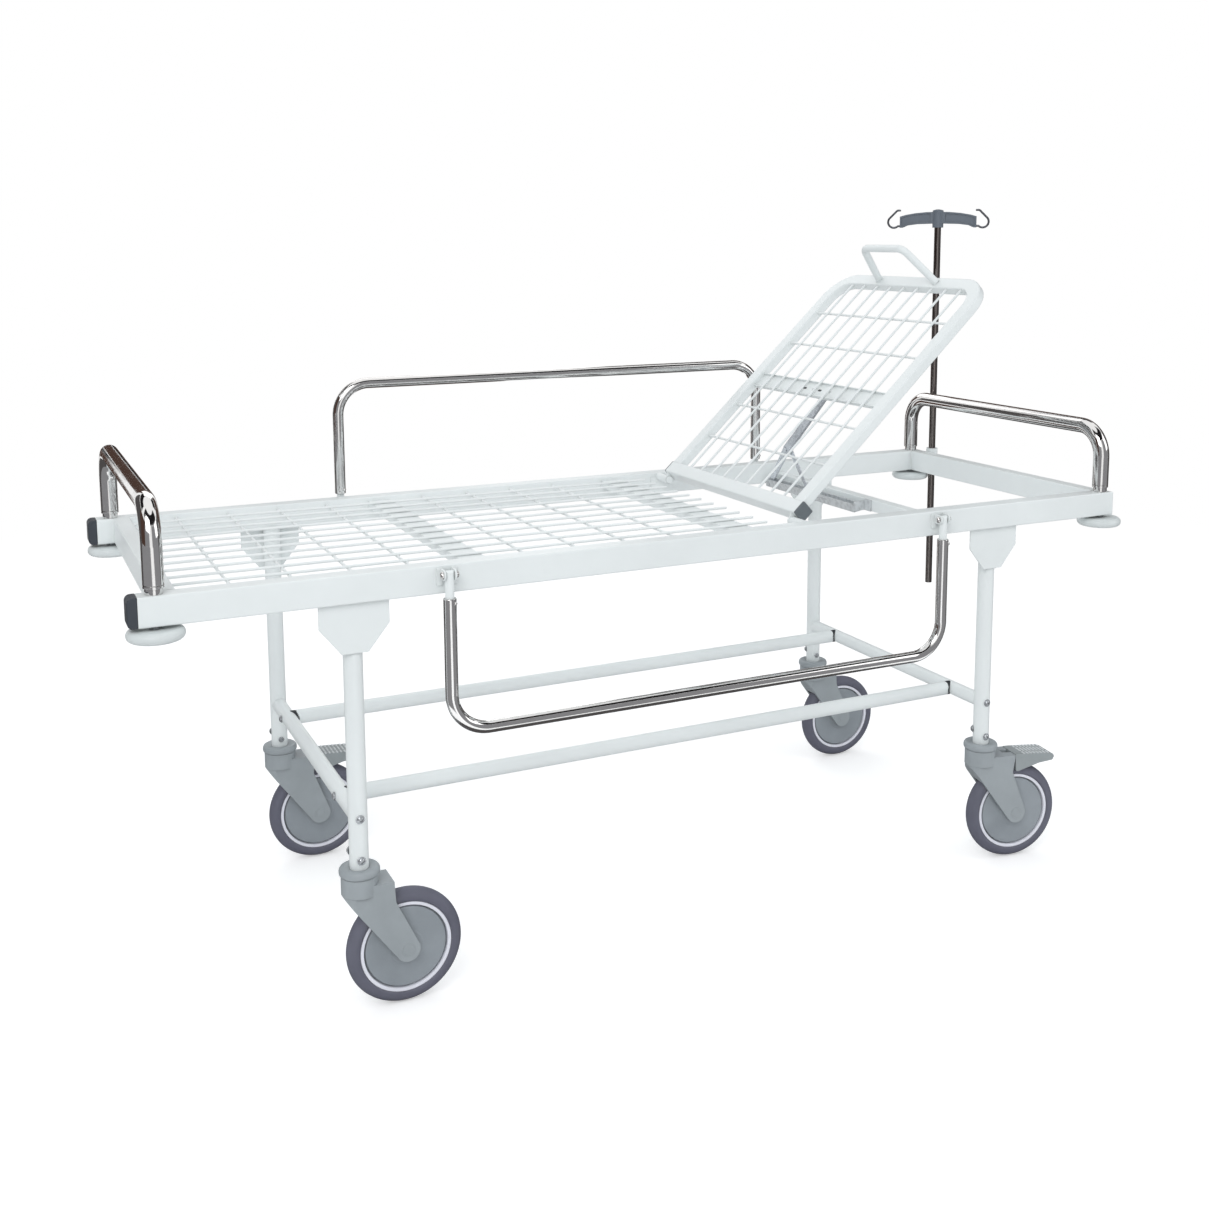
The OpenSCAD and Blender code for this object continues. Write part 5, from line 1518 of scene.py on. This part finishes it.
@dataclass
class Studio:
    """A pale floor, soft lamps, cards that only polished metal sees, and the camera."""

    floor_half: float = 6.0
    floor_fade: Pair = (2.0, 4.2)
    dome: float = 7.0
    hover: float = 0.003
    aim: tuple[float, float, float] = (0.0, 0.0, 0.6)
    sensor: float = 36.0
    eye: tuple[float, float, float] = (-1.22853, -2.4822, 1.2864)
    yaw: float = 25.7
    pitch: float = -7.8
    roll: float = -0.2
    focal: float = 1392.9
    offset: Pair = (24.0, -177.3)

    def build(self) -> None:
        """Builds the studio."""
        self.build_world()
        self.build_floor()
        self.build_lamps()
        for number, card in enumerate(WALL_CARDS):
            self.build_card(f"wall_card_{number}", self.on_dome, *card)
        for number, card in enumerate(FLOOR_CARDS):
            self.build_card(f"floor_card_{number}", self.on_floor, *card)
        self.build_camera()

    def build_world(self) -> None:
        """Makes the surroundings: white where they are seen, dimmer as a light."""
        world = bpy.data.worlds.new("studio")
        world.use_nodes = True
        bpy.context.scene.world = world
        sheet = NodeSheet(world.node_tree)
        world.node_tree.nodes.clear()
        lit = sheet.add("ShaderNodeBackground", Color=(0.95, 0.975, 1.0, 1.0), Strength=0.66)
        white = sheet.add("ShaderNodeBackground", Color=(1.0, 1.0, 1.0, 1.0), Strength=1.0)
        choose = sheet.add("ShaderNodeMixShader")
        for slot, value in enumerate((self.seen(sheet), lit.outputs[0], white.outputs[0])):
            sheet.feed(choose.inputs[slot], value)
        sheet.add("ShaderNodeOutputWorld", Surface=choose.outputs[0])

    @staticmethod
    def seen(sheet: NodeSheet) -> Socket:
        """Adds a test of what the eye sees directly, in gloss or through glass.

        Args:
            sheet: The sheet that gets it.

        Returns:
            The socket that is 1 there.
        """
        path = sheet.add("ShaderNodeLightPath").outputs
        first = sheet.math("MAXIMUM", path["Is Camera Ray"], path["Is Glossy Ray"])
        return sheet.math("MAXIMUM", first, path["Is Transmission Ray"])

    def build_floor(self) -> None:
        """Makes the floor, which stays white, keeps the stretcher's shadow and fades out far away."""
        form, half = Form(), self.floor_half
        form.mesh.faces.new([form.mesh.verts.new((x, y, 0.0)) for x, y in
                             ((-half, -half), (half, -half), (half, half), (-half, half))])
        floor = form.finish("floor")
        material = bpy.data.materials.new("floor_white")
        material.use_nodes = True
        sheet = NodeSheet(material.node_tree)
        shader = material.node_tree.nodes["Principled BSDF"].inputs
        reach = sheet.add("ShaderNodeVectorMath", operation="LENGTH")
        sheet.feed(reach.inputs[0], sheet.add("ShaderNodeTexCoord").outputs["Object"])
        for name, value in (("Base Color", (0.86, 0.86, 0.86, 1.0)), ("Roughness", 0.9),
                            ("Specular IOR Level", 0.0), ("Emission Color", (1.0, 1.0, 1.0, 1.0)),
                            ("Emission Strength", sheet.math("MULTIPLY", self.seen(sheet), 0.36)),
                            ("Alpha", sheet.span(reach.outputs["Value"], *self.floor_fade, 1.0, 0.0))):
            sheet.feed(shader[name], value)
        floor.data.materials.append(material)

    def build_lamps(self) -> None:
        """Adds the soft lamps."""
        for name, place, size, power in (("key", (-3.2, -3.6, 4.4), 3.2, 108.0), ("fill", (4.2, -3.0, 3.0), 3.0, 40.0),
                                         ("back", (0.5, 4.2, 4.0), 3.4, 46.0)):
            data = bpy.data.lights.new(name, "AREA")
            data.shape = "SQUARE"
            data.size = size
            data.energy = power
            lamp = bpy.data.objects.new(name, data)
            bpy.context.scene.collection.objects.link(lamp)
            lamp.location = place
            aim = Vector(self.aim) - Vector(place)
            lamp.rotation_euler = aim.to_track_quat("-Z", "Y").to_euler()

    def build_card(self, name: str, place: Callable[[float, float], Vector], start: float, width: float,
                   low: float, high: float, tone: Tone) -> None:
        """Stands up a toned card, as a photographer does, that only polished metal sees.

        Args:
            name: The card's name.
            place: Turns an azimuth and a height or distance into a place.
            start: Azimuth of its first edge.
            width: Azimuth that it covers.
            low: Its lowest height in degrees, or its smallest distance.
            high: Its greatest height in degrees, or its greatest distance.
            tone: Its tone.
        """
        material = bpy.data.materials.new(name)
        material.use_nodes = True
        shader = material.node_tree.nodes["Principled BSDF"].inputs
        for label, value in (("Base Color", (0.0, 0.0, 0.0, 1.0)), ("Specular IOR Level", 0.0),
                             ("Emission Color", (*tone.value, 1.0)), ("Emission Strength", 1.0)):
            shader[label].default_value = value
        form = Form()
        across, up = max(6, int(width / 5)), 4
        form.skin([[form.mesh.verts.new(place(start + width * column / across, low + (high - low) * row / up))
                    for column in range(across + 1)] for row in range(up + 1)], wrap=False)
        card = form.finish(name)
        card.data.materials.append(material)
        for kind in ("camera", "diffuse", "shadow", "transmission"):
            setattr(card, f"visible_{kind}", False)

    def on_dome(self, azimuth: float, height: float) -> Vector:
        """Returns the place on a dome at an azimuth and a height, both in degrees."""
        turn, lift = math.radians(azimuth), math.radians(height)
        return Vector((math.cos(turn) * math.cos(lift), math.sin(turn) * math.cos(lift), math.sin(lift))) * self.dome

    def on_floor(self, azimuth: float, distance: float) -> Vector:
        """Returns the place just above the floor at an azimuth and a distance."""
        turn = math.radians(azimuth)
        return Vector((math.cos(turn) * distance, math.sin(turn) * distance, self.hover))

    def build_camera(self) -> None:
        """Places the camera as the photograph was taken."""
        data = bpy.data.cameras.new("camera")
        data.sensor_width = self.sensor
        data.lens = self.sensor * self.focal / PHOTO_SIDE
        data.shift_x = -self.offset[0] / PHOTO_SIDE
        data.shift_y = self.offset[1] / PHOTO_SIDE
        data.clip_end = 200.0
        camera = bpy.data.objects.new("camera", data)
        bpy.context.scene.collection.objects.link(camera)
        yaw, pitch = math.radians(self.yaw), math.radians(self.pitch)
        ahead = Vector((math.sin(yaw) * math.cos(pitch), math.cos(yaw) * math.cos(pitch), math.sin(pitch)))
        turn = ahead.to_track_quat("-Z", "Y").to_matrix().to_4x4()
        spin = Matrix.Rotation(math.radians(self.roll), 4, "Z")
        camera.matrix_world = Matrix.Translation(Vector(self.eye)) @ turn @ spin
        bpy.context.scene.camera = camera


def main() -> None:
    """Builds the studio and every sub-assembly of the stretcher."""
    logging.basicConfig(level=logging.INFO, format="%(message)s")
    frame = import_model()
    bpy.context.scene.view_settings.view_transform = "Standard"
    Studio().build()
    shop = Workshop(frame, Softener())
    shop.build()
    TopFrame(shop).build()
    Deck(shop).build()
    for end in End:
        PushBar(shop, end).build()
    SideGuard(shop, Side.NEAR, Guard.HANGING).build()
    SideGuard(shop, Side.FAR, Guard.UPRIGHT).build()
    CornerBolts(shop).build()
    LowerFrame(shop).build()
    for end in End:
        for side in Side:
            Bumper(shop, end, side).build()
            braked = (end, side) in ((End.HEAD, Side.NEAR), (End.FOOT, Side.FAR))
            turn = -9.0 if (end, side) == (End.HEAD, Side.NEAR) else 0.0
            Caster(shop, end, side, braked, turn).build()
    Backrest(shop).build()
    Ratchet(shop).build()
    DripPole(shop).build()


if __name__ == "__main__":
    main()
